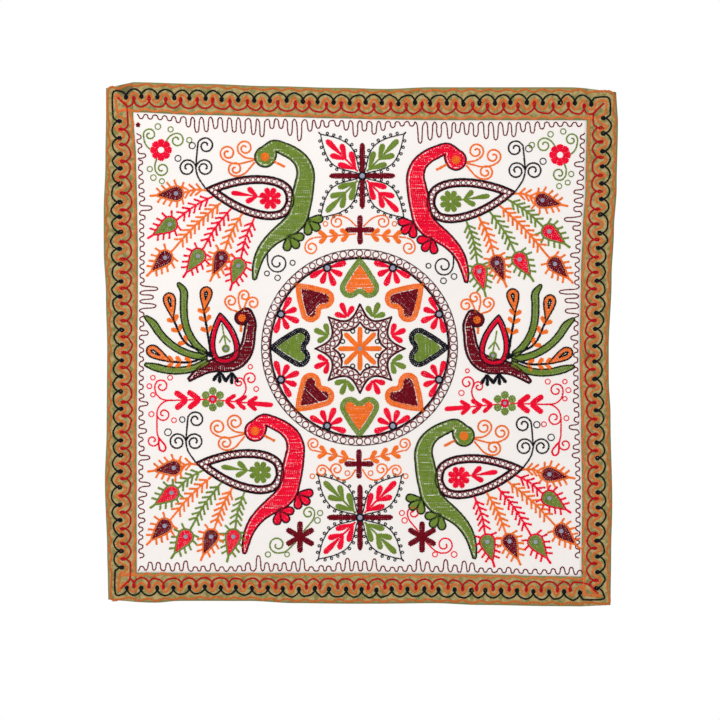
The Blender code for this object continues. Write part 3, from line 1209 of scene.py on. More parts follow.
# Corner sprays: the middle of the flower or star, which way it stands, and its vine's colour.
FLOWER_SPRAYS = {
    "upper_left_corner": ((161, 150), LEFT, "green"),
    "upper_right_corner": ((560, 155), RIGHT, "green"),
}
FLOWER_CURLS = [
    ((-9, 0), 200, ((12, 60), 5), 6.2, (315,)),
    ((5, -8), 290, ((14, 50),), 7.0, (0, 240)),
    ((-4, 8), 110, (4, (14, -40)), -6.6, (90, 135, 180)),
]
STAR_SPRAYS = {
    "lower_left_star": ((300, 537), LEFT, "green"),
    "lower_right_star": ((422, 537), RIGHT, "red"),
}
STAR_CURLS = [
    ((3, -5), 310, (13, (14, -40)), -6.0, (0, 40)),
    ((-4, 5), 135, (10, (14, 60)), 8.0, (45, 135)),
]


def flower_spray(place, middle, way, vine):
    work = Work(place)
    curls(work, vine, middle, way, FLOWER_CURLS, turns=1.3)
    work.ring("red", middle, 4.0, PLAIN)
    work.flower("red", middle, 8, 11.0, 7.4, first=-90.0, inner=3.2)
    work.make()


def star_spray(place, middle, way, vine):
    work = Work(place)
    curls(work, vine, middle, way, STAR_CURLS, turns=1.3)
    work.flower("maroon", middle, 6, 16.0, 5.6, first=-90.0, inner=0.0, profile=BAR)
    work.make()


SIDE_BIRDS = {"left_bird": ((242, 318), LEFT), "right_bird": ((477, 320), RIGHT)}
SIDE_HEAD = 6.9
SIDE_BODY = ((5, -5), 50, (16, 48), 18, (24, 78), 6, (40, -34), 12)
SIDE_WIDTH = 17.0
SIDE_SWELL = [(0, 0.55), (0.25, 0.68), (0.45, 0.9), (0.55, 1), (0.7, 0.75), (0.85, 0.55), (1, 0.2)]
SIDE_BEAK = [(-1, 6), (-1, 14)]
SIDE_CREST = [
    ((-3, -6), 195, (6, (12, 50)), 6.0, ()),
    ((-1, -7), 255, (8, (14, 20), 3), 5.6, ()),
    ((1, -7), 290, (8, (14, 20)), 6.0, ()),
]
SIDE_WING = [(-15, 46), (-22, -5)]
SIDE_WING_WIDTH = 29.0
SIDE_WING_ROWS = (
    # depth, colour, thread
    (0.0, "black", PLAIN), (1.9, "red", PLAIN), (3.5, "red", PLAIN), (4.9, "black", FINE),
)
SIDE_SPRIG = [(-4, -25), (-2, -14), (0, -4)]  # from the wing's mirror
SIDE_SPRIG_TIPS = [(-7, -5), (5, -6)]
SIDE_FEET = [(-22, 53), (-10, 54)]
SIDE_TOES = (60, 92, 125)
SIDE_KNOT = (-31, 36)
SIDE_PLUMES = [
    ((-37, 35), 215, (50, 55), 22, (7, -80)),
    ((-35, 39), 180, (60, 60), 8, (7, -60)),
    ((-34, 43), 145, (55, 50), 18),
]
SIDE_PLUME_SWELL = [(0, 0.9), (0.9, 1), (1, 0.4)]
SIDE_DROPS = [
    # round end, tip, how far the stem bows
    ((-74, -25), (-69, 1), 9),
    ((-35, -31), (-38, -7), 0),
    ((-95, 30), (-71, 44), 4),
]
DROP_LEAF = 8.5
DROP_LEAVES = (0.05, 0.28, 0.5)  # places of the pairs of leaves, as shares of the stem


def side_bird(place, middle, way):
    work = Work(place)
    curls(work, "orange", middle, way, SIDE_CREST, turns=1.3, weight=CREST)
    body = bird_outline(middle, way, SIDE_HEAD, SIDE_BODY, SIDE_WIDTH, SIDE_SWELL)
    work.fill(body, ("maroon", 1), outlined="black", hatched=("maroon", 0))
    work.disc("maroon", middle, 6.0)
    work.disc("orange", middle, 3.9, OVER_LINES)
    work.row("orange", set_out(middle, way, SIDE_BEAK), BEAK)
    outline = profile_outline(*set_out(middle, way, SIDE_WING), SIDE_WING_WIDTH, WING_SIDES)
    for depth, colour, weight in SIDE_WING_ROWS:
        work.inside(colour, outline, depth, weight, OVER_FILL)
    mirror = mirror_place(f"{place}_mirror")
    work.row("green", set_out(mirror, way, SIDE_SPRIG))
    for tip in SIDE_SPRIG_TIPS:
        work.shape("green", *set_out(mirror, way, [SIDE_SPRIG[1], tip]), 3.4)
    work.ring("green", mirror, 3.2, PLAIN, OVER_FILL)
    for root in SIDE_FEET:
        toes(work, "black", middle, way, root, SIDE_TOES, 13.0, 3.8, None)
    work.make()

    tail = Work(f"{place}_tail")
    for plume in SIDE_PLUMES:
        stations = swelling(course(*plume), 6.6, SIDE_PLUME_SWELL)
        stations[:, :2] = set_out(middle, way, stations[:, :2])
        tail.fill(spine_outline(stations), ("green", ALL_ROWS), outlined="black")
    knot = set_out(middle, way, SIDE_KNOT)
    for round_end, tip, bow in SIDE_DROPS:
        round_end, tip = set_out(middle, way, [round_end, tip])
        drop = profile_outline(round_end, tip, 11.6, DROP)
        tail.fill(drop, ("orange", 2), ("black", 1), start=0.6, outlined="black")
        middle_of_stem = spot(tip, knot, math.dist(tip, knot) / 2, bow * way)
        stem = smooth([tip, middle_of_stem, knot])
        tail.row("black", stem, BOLD, lift=OVER_FILL)
        aims = -directions(stem)
        for share in DROP_LEAVES:
            index = round(share * (len(stem) - 1))
            for lean in (-1, 1):
                out = unit(aims[index] + lean * turned(aims[index]))
                tail.shape("orange", stem[index], stem[index] + out * DROP_LEAF, 4.8)
    tail.disc("black", knot, 3.4, OVER_FILL)
    tail.make()


# Side bands: a flower round its mirror, a leafy stem to each side of it, and curls at the stems' ends.
SIDE_BANDS = {"left_band": LEFT, "right_band": RIGHT}
BAND_STEMS = [
    # root, heading, length, places of the pairs of leaves, and a leaf's length and width
    ((5, 1), 5, 45, (8, 19, 30), 12, 4.2),
    ((-5, 0), 178, 38, (8, 21), 15, 5.6),
]
BAND_TIP_LEAF = [(38, 4), (61, 6)]
BAND_TIP_WIDTH = 4.8
BAND_CURLS = [
    ((22, 2), 330, (6, (12, -80), 3), 6.4, (60, 270)),
    ((32, -15), 255, (3,), -5.0, ()),
    ((-40, 1), 180, (6, (12, 90), 2), 6.6, (135, 180, 225, 315)),
    ((-40, 1), 180, (2, (14, -90)), -6.6, (30, 180)),
    ((-56, 15), 90, (14, (30, -20)), 6.0, ()),
]
BAND_DROP = [(-49, 52), (-54, 39)]
BAND_DROP_WIDTH = 6.5


def side_band(place, way):
    work = Work(place)
    middle = mirror_place(f"{place}_mirror")
    for stem in BAND_STEMS:
        leafy_stem(work, "red", middle, way, *stem, BAR)
    work.shape("red", *set_out(middle, way, BAND_TIP_LEAF), BAND_TIP_WIDTH, BAR)
    curls(work, "red", middle, way, BAND_CURLS, 1.25, loop_radius=2.4)
    drop = profile_outline(*set_out(middle, way, BAND_DROP), BAND_DROP_WIDTH, DROP)
    work.edging("red", drop, PLAIN)
    for number in range(6):
        work.disc("green", around(middle, 8.2, 30 + 60 * number), 4.0)
    work.ring("red", middle, 3.3, BOLD, OVER_FILL)
    work.make()


# Half the width of a pointed leaf at distances from its root, as shares of its length.
POINTED_LEAF = [
    (0.0, 0.0), (0.1, 0.03), (0.2, 0.09), (0.36, 0.18),
    (0.53, 0.215), (0.72, 0.165), (0.86, 0.09), (1.0, 0.0),
]
# The sprig in such a leaf: (along, across) of root and tip of each small leaf.
LEAF_SPRIG = [
    ((0.5, 0.0), (0.87, 0.0)),
    ((0.4, 0.0), (0.64, 0.14)),
    ((0.4, 0.0), (0.64, -0.14)),
    ((0.16, 0.0), (0.44, 0.155)),
    ((0.16, 0.0), (0.44, -0.155)),
]
# Crosses: the colours of the leaves, from the upper left one clockwise.
CROSSES = {
    "upper_cross": ("red", "green", "red", "green"),
    "lower_cross": ("green", "red", "green", "red"),
}
CROSS_LEAF = 59.0
CROSS_BAR = 33.5
LEAF_LOOPS = 8


def cross_leaf(work, centre, tip, colour):
    reach = math.dist(centre, tip)

    def at(along, across=0.0):
        return spot(centre, tip, along * reach, across * reach)

    for side in (-1, 1):
        line = smooth([at(along, side * half) for along, half in POINTED_LEAF])
        work.row("black", line[::4], FINE)
        places = evenly(line, reach / (LEAF_LOOPS + 1.5))
        for place, aim_here in list(zip(places, directions(places)))[1:-1]:
            work.ring("black", place + turned(aim_here) * side * 2.1, 1.3, LOOP)
    work.row("black", [at(0.98), at(1.05)], PLAIN)
    work.row(colour, [at(0.1), at(0.3), at(0.55)], BOLD)
    for root, tip_of_leaf in LEAF_SPRIG:
        work.shape(colour, at(*root), at(*tip_of_leaf), 6.0)


def cross(place, colours):
    work = Work(place)
    centre = mirror_place(f"{place}_mirror")
    for number, colour in enumerate(colours):
        cross_leaf(work, centre, around(centre, CROSS_LEAF, 225 + 90 * number), colour)
    work.flower("maroon", centre, 4, CROSS_BAR, 5.4, inner=0.0, profile=BAR)
    work.ring("black", centre, 3.6, BOLD, OVER_LINES)
    work.make()


# A small maroon cross with orange tendrils and a leafy branch to each side, mirrored.
BRANCHES = {
    "upper_branch": {
        "centre": (360, 230),
        "stem": ((-4, 4), 175, 42),
        "curls": [
            ((-3, -3), 225, (8, (20, -45)), -6.4, (170,)),
            ((-46, 8), 175, ((10, -80),), -6.4, ()),
        ],
    },
    "lower_branch": {
        "centre": (359, 464),
        "stem": ((-4, -4), 193, 42),
        "curls": [
            ((-3, 5), 122, (7, (11, 108), 4), 6.0, (20,)),
            ((-27, 9), 230, (6, (10, -30)), -5.6, (150,)),
            ((-45, -13), 193, ((8, 60),), 5.6, ()),
        ],
    },
}
BRANCH_PAIRS = (7, 18, 29)
BRANCH_LEAF = (10.5, 5.0)


def branch(place, parts):
    work = Work(place)
    centre = parts["centre"]
    for way in (LEFT, RIGHT):
        curls(work, "orange", centre, way, parts["curls"], 1.35, loop_radius=2.6)
        leafy_stem(work, "orange", centre, way, *parts["stem"], BRANCH_PAIRS, *BRANCH_LEAF)
    work.flower("maroon", centre, 4, 15.0, 5.4, inner=0.0, profile=BAR)
    work.make()


# The medallion, in squares from its centre; angles are in degrees, clockwise from the right.
MEDALLION = (359.5, 347.5)
RING_RADIUS = 98.0
RING_LOOPS = 72
HEART_TIP = 91.0  # how far out a heart's point lies
LOBE = (59.5, 9.5)  # the middle of a heart's lobe: out, to the side
LOBE_RADIUS = 10.0
LOBE_ARC = (55, 250)  # degrees, from the side of the point round to the notch
HEART_SWELL = (0.4, 0.8)  # how far the middle of a heart's side stands out
HEARTS = [
    # inside, border, clockwise from the top
    ("orange", "green"),
    ("maroon", "orange"),
    ("green", "black"),
    ("maroon", "orange"),
]
FAN_PETALS = [(-84, 20), (-42, 17), (0, 20), (42, 17), (84, 20)]
STAR_TIPS = 45.5
STAR_VALLEYS = 31.0
STAR_ROWS = (
    # colour, thread, height, reach of the tips and of the valleys, hollow of the sides
    ("black", HAIR, OVER_FILL, STAR_TIPS, STAR_VALLEYS, 2.6),
    ("maroon", FINE, ON_CLOTH, STAR_TIPS - 1.9, STAR_VALLEYS - 1.2, 2.6),
    ("maroon", FINE, ON_CLOTH, 27.6, 22.2, 1.6),
    ("black", HAIR, OVER_FILL, 26.5, 21.0, 1.6),
)
STAR_RING_LINE = (35.0, 26.2, 2.0)
STAR_RINGS = (2.6, 6.2)  # radius and pitch
SPRIG_COLOURS = ["green", "red"]


def star_outline(centre, tip_reach, valley_reach, hollow):
    """An eight-pointed star whose sides curve in."""
    points = []
    for number in range(16):
        start = np.array(around(centre, (tip_reach, valley_reach)[number % 2], 22.5 * number))
        end = np.array(around(centre, (valley_reach, tip_reach)[number % 2], 22.5 * (number + 1)))
        for share in np.arange(0.0, 1.0, 0.125):
            place = mix(start, end, share)
            points.append(place + unit(centre - place) * hollow * 4 * share * (1 - share))
    return evenly(np.array(points), OUTLINE_STEP, True)


def medallion_rings():
    work = Work("medallion_ring")
    rows = (
        (RING_RADIUS, "black", HAIR, ON_CLOTH),
        (RING_RADIUS - 9, "black", PLAIN, OVER_FILL),
        (RING_RADIUS - 7.6, "maroon", HAIR, ON_CLOTH),
    )
    for radius, colour, weight, lift in rows:
        circle = [around(MEDALLION, radius, angle) for angle in range(0, 360, 5)]
        work.row(colour, circle, weight, True, lift)
    for number in range(RING_LOOPS):
        place = around(MEDALLION, RING_RADIUS - 3.8, 360 * number / RING_LOOPS)
        work.ring("maroon", place, 3.2 + work.rng.normal(0.0, 0.15), LOOP)
    work.make()


def hearts():
    work = Work("medallion_hearts")
    lobe = [around(LOBE, LOBE_RADIUS, angle) for angle in range(*LOBE_ARC, 15)]
    side = mix(np.array([HEART_TIP, 0.0]), np.array(lobe[0]), 0.5) + HEART_SWELL
    half = smooth([(HEART_TIP, 0.0), side, *lobe])
    heart = np.vstack([half, (half * (1, -1))[::-1][:-1]])
    for number in range(8):
        inside, border = HEARTS[number % 4]
        angle = 45 * number - 90
        turn = math.radians(angle)
        out = np.array([math.cos(turn), math.sin(turn)])
        outline = evenly(heart[:, :1] * out + heart[:, 1:] * turned(out) + MEDALLION, OUTLINE_STEP, True)
        work.fill(outline, (border, 3), start=0.4, hatched=(inside, angle + 90))
    work.make()


def fans():
    work = Work("medallion_fans")
    for number in range(8):
        centre = mirror_place(f"fan_mirror_{number + 1}")
        inwards = math.degrees(math.atan2(MEDALLION[1] - centre[1], MEDALLION[0] - centre[0]))
        for lean, length in FAN_PETALS:
            root = around(centre, 3.0, inwards + lean)
            work.shape("red", root, around(centre, length, inwards + lean), 6.2)
        work.ring("black", centre, 3.5, BOLD, OVER_LINES)
    work.make()


def star():
    work = Work("medallion_star")
    centre = mirror_place("star_mirror")
    for colour, weight, lift, *sizes in STAR_ROWS:
        work.edging(colour, star_outline(centre, *sizes), weight, lift)
    work.rings_along("maroon", star_outline(centre, *STAR_RING_LINE), True, *STAR_RINGS, FINE)
    for number in range(8):
        angle = 45 * number
        work.shape("orange", around(centre, 2.0, angle), around(centre, 22.5, angle), 4.9, BAR)
        work.ring("black", around(centre, 18.8, angle + 22.5), 2.1, FINE)
        work.ring("maroon", around(centre, 37.5, angle), 1.3, HAIR)
        sprig_angle = angle + 22.5 - 90
        root = around(centre, 34.0, sprig_angle)
        for lean, length in ((0, 16), (-52, 13), (52, 13)):
            work.shape(SPRIG_COLOURS[number % 2], root, around(root, length, sprig_angle + lean), 5.8)
    work.ring("orange", centre, 3.2, PLAIN, OVER_FILL)
    work.make()


# The thin maroon row that zigzags inside the seam. A tooth reaches in as far as the motifs leave room for.
ZIGZAG_SIDES = {
    # side: its table, the way inwards, the first and last tooth on the chart, how many teeth
    "top": (TOP_SIDE, -1, 141, 579, 48),
    "right": (RIGHT_SIDE, -1, 137, 556, 47),
    "bottom": (BOTTOM_SIDE, 1, 141, 580, 50),
    "left": (LEFT_SIDE, 1, 137, 556, 48),
}
SEAM_DEPTH = 30  # depths across a strip are in thirtieths of its width, from the outer edge
ZIGZAG_BASE = 3.4  # mm from the seam to the outer turns
TOOTH_LEAST = 11.0  # mm from the seam to the tip of the shortest tooth
TOOTH_MOST = 42.0
TOOTH_RISE = 5.0  # mm by which a tooth may be longer than the next one towards the corner
TOOTH_SHORTFALL = 0.45  # how much of its room a tooth may leave
TOOTH_CLEAR = 6.0  # mm between a tooth and the motifs
TOOTH = [
    (-0.5, 0.0), (-0.29, 0.18), (-0.24, 0.6), (-0.17, 0.9),
    (0.0, 1.0), (0.17, 0.9), (0.24, 0.6), (0.29, 0.18),
]
ZIGZAG_KNOT = (138, 125)


def zigzag():
    rng = np.random.default_rng(11)
    laid = [evenly(line, 2.0, closed) for _, line, closed, base in Work.all_rows if base == PANEL_THICK]
    laid = np.vstack(laid)
    work = Work("edge_zigzag")
    for side, (rows, inwards, first, last, count) in ZIGZAG_SIDES.items():
        level = side in ("top", "bottom")
        gap = (last - first) / (count - 1)
        points = []
        for number in range(count):
            middle = first + number * gap + rng.normal(0.0, 0.4)
            seam_x, seam_z = border_point(side, rows, middle, SEAM_DEPTH)
            beside, inward = (laid[:, 0] - seam_x, laid[:, 1] - seam_z) if level else (
                laid[:, 1] - seam_z, laid[:, 0] - seam_x
            )
            near = inward[np.abs(beside) < gap * GRID * 0.5 + TOOTH_CLEAR / 2] * inwards
            room = min(near.min(initial=TOOTH_MOST + TOOTH_CLEAR) - TOOTH_CLEAR, TOOTH_MOST)
            from_end = min(number, count - 1 - number) + 0.5
            room = min(room, TOOTH_LEAST + from_end * TOOTH_RISE)
            depth = max(TOOTH_LEAST, room * (1 - TOOTH_SHORTFALL * rng.random()))
            for along, share in TOOTH:
                place = middle + along * gap + rng.normal(0.0, 0.15)
                reach = inwards * mix(ZIGZAG_BASE + rng.normal(0.0, 0.3), depth, share)
                x, z = border_point(side, rows, place, SEAM_DEPTH)
                points.append((x, z + reach) if level else (x + reach, z))
        work.lay("maroon", smooth(points), ZIGZAG_THREAD, False, ON_CLOTH, PANEL_THICK)
        laid = np.vstack([laid, smooth(points)])
    work.disc("maroon", ZIGZAG_KNOT, 2.4, OVER_FILL)
    work.make()


# The border's stitching.
# Each side, clockwise: its table, the first and last of its black hooks on the chart, how many there are.
BORDER_RUNS = [
    ("top", TOP_SIDE, 125.5, 591.0, 30),
    ("right", RIGHT_SIDE, 118.5, 589.0, 30),
    ("bottom", BOTTOM_SIDE, 580.0, 126.5, 30),
    ("left", LEFT_SIDE, 568.0, 121.5, 29),
]
# Shares of the pitch along a side from a hook, and depths.
BLACK_HOOK = [
    (-0.3, 7.4), (-0.13, 9.2), (-0.02, 11.6), (0.1, 14.2), (0.0, 16.4),
    (-0.1, 14.2), (0.02, 11.6), (0.13, 9.2), (0.3, 7.4), (0.5, 6.6),
]
BLACK_CORE = [(0.0, 12.0), (0.0, 15.8)]
CRIMSON_HOOK = [
    (-0.3, 23.7), (-0.14, 22.2), (-0.03, 20.0), (0.07, 16.4), (0.0, 13.7), (-0.07, 16.4), (0.03, 20.0),
    (0.14, 22.2), (0.3, 23.7), (0.5, 24.3),
]
RUST_BEND = [
    (-0.36, 12.2), (-0.27, 15.2), (-0.18, 18.2), (0.0, 20.0),
    (0.18, 18.2), (0.27, 15.2), (0.36, 12.2), (0.5, 10.4),
]
FAR = 440.0  # mm; how far along a side its corners' levels are taken
WAVES = 27  # of the outer and inner rows, along each side
OUTER_WAVE = (3.0, 1.1)  # middle depth and swing
INNER_WAVE = (27.6, 1.2)
OUTER_THREAD = (4.9, 1.1, 3.0)
INNER_THREAD = (4.6, 1.1, 3.0)
RUST_THREAD = (5.6, 1.1, 3.2)
BLACK_THREAD = (3.4, 1.15, 2.6)
CORE_THREAD = (5.0, 1.3, 2.8)
CRIMSON_THREAD = (3.6, 1.15, 2.7)
RUST_CORNER = [10.4]
BLACK_CORNER = [7.6]
CRIMSON_CORNER = [22.6, 17.0, 12.6, 17.0, 22.6]


def border_level(rows, along, depth):
    return mix(float(edge(rows, along, OUTER)), float(edge(rows, along, INNER)), depth / SEAM_DEPTH)


def border_point(side, rows, along, depth):
    """Millimetres of a place on a side, from a length along it on the chart."""
    if side in ("top", "bottom"):
        along = (along - CHART_CENTRE[0]) * GRID
        return (along, border_level(rows, along, depth))
    along = (CHART_CENTRE[1] - along) * GRID
    return (border_level(rows, along, depth), along)


def corner_point(number, depth):
    """The place at a depth on the mitre after a side."""
    ends = [BORDER_RUNS[number], BORDER_RUNS[(number + 1) % 4]]
    ends.sort(key=lambda run: run[0] in ("top", "bottom"))
    (upright, upright_rows, *_), (level, level_rows, *_) = ends
    x = border_level(upright_rows, FAR if level == "top" else -FAR, depth)
    z = border_level(level_rows, FAR if upright == "right" else -FAR, depth)
    return (x, z)


def border_loop(hook, corner_depths, between, rng):
    """A line round the border through a hook at every place, or between places, and through its corners."""
    points = []
    for number, (side, rows, first, last, count) in enumerate(BORDER_RUNS):
        pitch = (last - first) / (count - 1)
        places = count - 1 if between else count
        for index in range(places):
            along = first + pitch * (index + (0.5 if between else 0.0) + rng.normal(0.0, 0.05))
            sink = rng.normal(0.0, 0.4)
            for share, depth in hook:
                if share == 0.5 and index == places - 1:
                    continue
                points.append(border_point(side, rows, along + share * pitch, depth + sink))
        points += [corner_point(number, depth) for depth in corner_depths]
    return np.array(points)


def border_wave(middle, swing, rng):
    points = []
    for number, (side, rows, first, last, count) in enumerate(BORDER_RUNS):
        start = first - 0.4 * (last - first) / count
        end = last + 0.4 * (last - first) / count
        for index in range(2 * WAVES):
            along = mix(start, end, (index + rng.normal(0.0, 0.12)) / (2 * WAVES - 1))
            depth = middle + swing * (-1) ** index * (1 + rng.normal(0.0, 0.2))
            points.append(border_point(side, rows, along, depth))
        points.append(corner_point(number, middle))
    return np.array(points)


def border_stitching():
    rng = np.random.default_rng(7)
    waves = Work("border_waves")
    scallops = Work("border_scallops")

    def lay(work, colour, points, weight, lift=ON_CLOTH):
        work.lay(colour, smooth(points, True), weight, True, lift, STRIP_THICK)

    lay(waves, "rust", border_wave(*OUTER_WAVE, rng), OUTER_THREAD)
    lay(waves, "rust", border_wave(*INNER_WAVE, rng), INNER_THREAD)
    lay(waves, "rust", border_loop(RUST_BEND, RUST_CORNER, False, rng), RUST_THREAD)
    lay(scallops, "black", border_loop(BLACK_HOOK, BLACK_CORNER, False, rng), BLACK_THREAD, OVER_FILL)
    for side, rows, first, last, count in BORDER_RUNS:
        for along in np.linspace(first, last, count):
            core = [border_point(side, rows, along, depth) for _, depth in BLACK_CORE]
            scallops.lay("black", np.array(core), CORE_THREAD, False, OVER_FILL, STRIP_THICK)
    crimson = border_loop(CRIMSON_HOOK, CRIMSON_CORNER, True, rng)
    lay(scallops, "crimson", crimson, CRIMSON_THREAD, OVER_FILL)
    waves.make()
    scallops.make()


# Rims of the mirrors: which thread holds each one.
RIMS = {
    "upper_left_feather": ("maroon", "green"),
    "upper_right_feather": ("maroon", "red"),
    "lower_left_feather": ("maroon", "red"),
    "lower_right_feather": ("maroon", "green"),
    "fan": ("black", "black"),
    "star": ("orange", "orange"),
    "upper_cross": ("black", "black"),
    "lower_cross": ("black", "black"),
    "left_band": ("red", "red"),
    "right_band": ("red", "red"),
    "left_bird": ("green", "green"),
    "right_bird": ("green", "green"),
}
RIM_WEIGHT = (2.0, 1.1, 2.0)
RIM_OUT = 0.4  # mm outside the glass
RIM_LIFT = 0.75


def rims():
    work = Work("mirror_rims")
    for node in sorted(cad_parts):
        if "mirror" not in node:
            continue
        stem, _, number = node.partition("_mirror")
        number = int(number.strip("_") or 1)
        x, z, radius = mirror_disc(node)
        radius += RIM_OUT
        angles = np.radians(np.arange(0, 360, 20))
        line = np.stack([x + radius * np.cos(angles), z + radius * np.sin(angles)], axis=-1)
        work.lay(RIMS[stem][(number - 1) % 2], line, RIM_WEIGHT, True, RIM_LIFT, PANEL_THICK)
    work.make()


def back_stitches():
    """What shows of the rows on the back of the cloth: a line of short straight stitches under each."""
    rows = {}
    for colour, line, closed, base in Work.all_rows:
        step = BACK_WEIGHT[2]
        if lengths_along(line)[-1] > step:
            rows.setdefault(colour, []).append((evenly(line, step, closed), BACK_WEIGHT, closed, 0.1, base))
    for colour, lines in rows.items():
        stitched(f"back_stitches_{colour}", colour, lines, BACK_POINTS, BACK_FACES, -1)


class HANGING_OT_panel(bpy.types.Operator):
    """Make the pale cotton panel"""

    bl_idname = "hanging.panel"
    bl_label = "Cotton panel"

    def execute(self, context):
        def point(column, row):
            x, z = panel_point(column / PANEL_CELLS, row / PANEL_CELLS)
            return x, z, np.full_like(x, 0.5)

        panel, area = cloth_sheet(
            "cotton_panel", PANEL_CELLS, PANEL_CELLS, point, PANEL_THICK, cotton_finish()
        )
        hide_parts("ground_panel")
        return {"FINISHED"}


class HANGING_OT_border_strips(bpy.types.Operator):
    """Make the four strips of khaki cloth round the panel"""

    bl_idname = "hanging.border_strips"
    bl_label = "Border strips"

    def execute(self, context):
        look = border_finish()
        ups = np.concatenate([
            np.linspace(-1.0, 0.0, CORNER_CELLS + 1)[:-1],
            np.linspace(0.0, 1.0, STRIP_CELLS_ALONG + 1),
            np.linspace(1.0, 2.0, CORNER_CELLS + 1)[1:],
        ])
        for name, side in (("left", -1), ("right", 1)):
            def point(column, row, side=side):
                share = column / STRIP_CELLS_ACROSS
                share = share if side > 0 else 1 - share
                x, z = side_strip_point(side, share, ups[row.astype(int)])
                return x, z, share

            self.strip(name, STRIP_CELLS_ACROSS, len(ups) - 1, point, look)
        for name, end in (("bottom", -1), ("top", 1)):
            def point(column, row, end=end):
                share = row / STRIP_CELLS_ACROSS
                share = share if end > 0 else 1 - share
                x, z = end_strip_point(end, share, column / STRIP_CELLS_ALONG)
                return x, z, share

            self.strip(name, STRIP_CELLS_ALONG, STRIP_CELLS_ACROSS, point, look)
        return {"FINISHED"}

    def strip(self, name, columns, rows, point, look):
        cloth, area = cloth_sheet(
            f"border_cloth_{name}", columns, rows, point, STRIP_THICK, look
        )
        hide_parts(f"border_{name}")


class HANGING_OT_border_stitching(bpy.types.Operator):
    """Stitch the waves and scallops of the border"""

    bl_idname = "hanging.border_stitching"
    bl_label = "Border stitching"

    def execute(self, context):
        border_stitching()
        return {"FINISHED"}


class HANGING_OT_zigzag(bpy.types.Operator):
    """Stitch the thin zigzag row inside the seam"""

    bl_idname = "hanging.zigzag"
    bl_label = "Edge zigzag"

    def execute(self, context):
        zigzag()
        return {"FINISHED"}


class HANGING_OT_peacocks(bpy.types.Operator):
    """Stitch the four peacocks with their wings and feathers"""

    bl_idname = "hanging.peacocks"
    bl_label = "Peacocks"

    def execute(self, context):
        for place, bird in PEACOCKS.items():
            peacock(place, *bird)
        return {"FINISHED"}


class HANGING_OT_side_birds(bpy.types.Operator):
    """Stitch the two small birds beside the medallion"""

    bl_idname = "hanging.side_birds"
    bl_label = "Side birds"

    def execute(self, context):
        for place, bird in SIDE_BIRDS.items():
            side_bird(place, *bird)
        return {"FINISHED"}


class HANGING_OT_vines(bpy.types.Operator):
    """Stitch the corner sprays, the side bands and the leafy branches"""

    bl_idname = "hanging.vines"
    bl_label = "Sprays, bands and branches"

    def execute(self, context):
        for place, spray in FLOWER_SPRAYS.items():
            flower_spray(place, *spray)
        for place, spray in STAR_SPRAYS.items():
            star_spray(place, *spray)
        for place, way in SIDE_BANDS.items():
            side_band(place, way)
        for place, parts in BRANCHES.items():
            branch(place, parts)
        return {"FINISHED"}


class HANGING_OT_crosses(bpy.types.Operator):
    """Stitch the two cross-shaped flowers"""

    bl_idname = "hanging.crosses"
    bl_label = "Cross-shaped flowers"

    def execute(self, context):
        for place, colours in CROSSES.items():
            cross(place, colours)
        return {"FINISHED"}


class HANGING_OT_medallion(bpy.types.Operator):
    """Stitch the round medallion: rings, hearts, fans and star"""

    bl_idname = "hanging.medallion"
    bl_label = "Medallion"

    def execute(self, context):
        medallion_rings()
        hearts()
        fans()
        star()
        return {"FINISHED"}


class HANGING_OT_mirrors(bpy.types.Operator):
    """Give the mirrors their glass and their thread rims"""

    bl_idname = "hanging.mirrors"
    bl_label = "Mirrors"

    def execute(self, context):
        glass = mirror_finish()
        for name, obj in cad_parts.items():
            if "mirror" in name:
                for slot in obj.material_slots:
                    slot.material = glass
        rims()
        return {"FINISHED"}


class HANGING_OT_back(bpy.types.Operator):
    """Show the stitches on the back of the cloth"""

    bl_idname = "hanging.back"
    bl_label = "Back of the stitching"

    def execute(self, context):
        back_stitches()
        return {"FINISHED"}


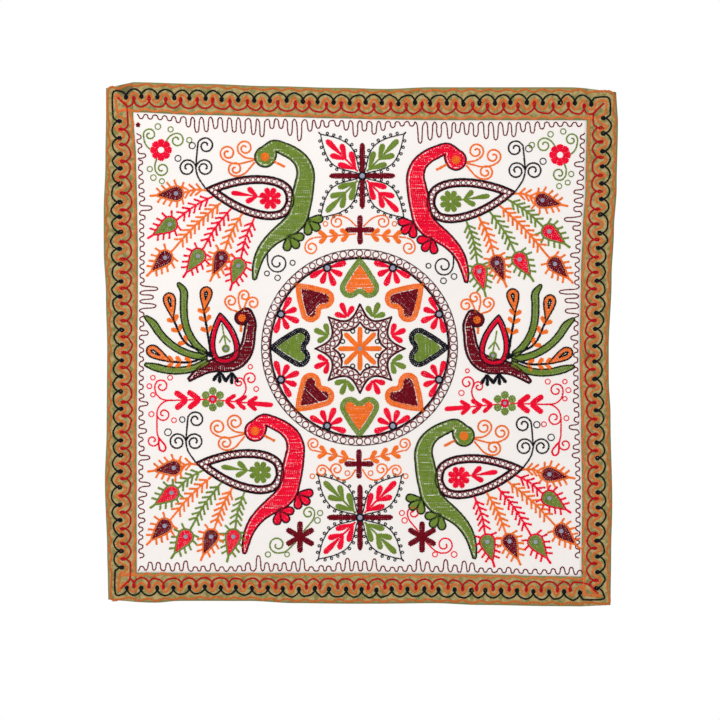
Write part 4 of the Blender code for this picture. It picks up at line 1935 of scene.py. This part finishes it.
class HANGING_OT_stage(bpy.types.Operator):
    """Set the floor, the light and the camera"""

    bl_idname = "hanging.stage"
    bl_label = "Floor, light and camera"

    FRAME_WIDTH = 1.267  # metres of the hanging's plane that the picture's width takes in
    AIM_HEIGHT = -0.478
    SENSOR = 36.0
    FLOOR_HEIGHT = -1.6
    FLOOR_RADIUS = 3.0
    FLOOR_THICK = 0.02
    LAMP_PLACE = (-1.7, -2.3, 1.3)
    LAMP_SIZE = 1.1

    def execute(self, context):
        scene = context.scene
        settings = scene.hanging_stage
        bpy.ops.object.select_all(action="DESELECT")
        middle = (0.0, 0.0, self.FLOOR_HEIGHT - self.FLOOR_THICK / 2)
        bpy.ops.mesh.primitive_cylinder_add(
            vertices=96, radius=self.FLOOR_RADIUS, depth=self.FLOOR_THICK, location=middle
        )
        floor = bpy.context.object
        floor.name = "studio_floor"
        pale = Finish("pale_floor")
        pale.set(Base_Color=(0.8, 0.8, 0.8, 1.0), Roughness=0.9)
        floor.data.materials.append(pale.material)

        lamp = bpy.data.lights.new("soft_lamp", "AREA")
        lamp.shape = "DISK"
        lamp.size = self.LAMP_SIZE
        lamp.energy = settings.lamp_power
        holder = bpy.data.objects.new("soft_lamp", lamp)
        holder.location = self.LAMP_PLACE
        target = np.array([0.0, 0.0, self.AIM_HEIGHT]) - np.array(holder.location)
        flat = math.hypot(target[0], target[1])
        holder.rotation_euler = (math.atan2(flat, -target[2]), 0.0, math.atan2(-target[0], target[1]))
        scene.collection.objects.link(holder)

        world = bpy.data.worlds.new("white_room")
        world.use_nodes = True
        background = world.node_tree.nodes["Background"]
        background.inputs["Color"].default_value = (1.0, 1.0, 1.0, 1.0)
        background.inputs["Strength"].default_value = 1.0
        scene.world = world
        scene.view_settings.view_transform = "Standard"

        lens = bpy.data.cameras.new("camera")
        lens.sensor_width = self.SENSOR
        lens.lens = self.SENSOR * settings.camera_distance / self.FRAME_WIDTH
        camera = bpy.data.objects.new("camera", lens)
        camera.location = (0.0, -settings.camera_distance, self.AIM_HEIGHT)
        camera.rotation_euler = (math.pi / 2, 0.0, 0.0)
        scene.collection.objects.link(camera)
        scene.camera = camera
        return {"FINISHED"}


class HANGING_PT_steps(bpy.types.Panel):
    """Lists the settings and the steps that make the hanging"""

    bl_idname = "HANGING_PT_steps"
    bl_label = "Wall hanging"
    bl_space_type = "VIEW_3D"
    bl_region_type = "UI"
    bl_category = "Hanging"

    def draw(self, context):
        for group in ("hanging_yarn", "hanging_cloth", "hanging_stage"):
            settings = getattr(context.scene, group)
            for key in settings.__annotations__:
                self.layout.prop(settings, key)
        for cls in CLASSES:
            if issubclass(cls, bpy.types.Operator):
                self.layout.operator(cls.bl_idname)


CLASSES = [
    HANGING_PG_yarn,
    HANGING_PG_cloth,
    HANGING_PG_stage,
    HANGING_OT_panel,
    HANGING_OT_border_strips,
    HANGING_OT_border_stitching,
    HANGING_OT_zigzag,
    HANGING_OT_peacocks,
    HANGING_OT_side_birds,
    HANGING_OT_vines,
    HANGING_OT_crosses,
    HANGING_OT_medallion,
    HANGING_OT_mirrors,
    HANGING_OT_back,
    HANGING_OT_stage,
    HANGING_PT_steps,
]


def register():
    for cls in CLASSES:
        bpy.utils.register_class(cls)
    bpy.types.Scene.hanging_yarn = bpy.props.PointerProperty(type=HANGING_PG_yarn)
    bpy.types.Scene.hanging_cloth = bpy.props.PointerProperty(type=HANGING_PG_cloth)
    bpy.types.Scene.hanging_stage = bpy.props.PointerProperty(type=HANGING_PG_stage)


def unregister():
    del bpy.types.Scene.hanging_stage
    del bpy.types.Scene.hanging_cloth
    del bpy.types.Scene.hanging_yarn
    for cls in reversed(CLASSES):
        bpy.utils.unregister_class(cls)


def main():
    register()
    bpy.ops.hanging.panel()
    bpy.ops.hanging.border_strips()
    bpy.ops.hanging.border_stitching()
    bpy.ops.hanging.peacocks()
    bpy.ops.hanging.side_birds()
    bpy.ops.hanging.vines()
    bpy.ops.hanging.crosses()
    bpy.ops.hanging.medallion()
    bpy.ops.hanging.zigzag()
    bpy.ops.hanging.mirrors()
    bpy.ops.hanging.back()
    bpy.ops.hanging.stage()


if __name__ == "__main__":
    main()
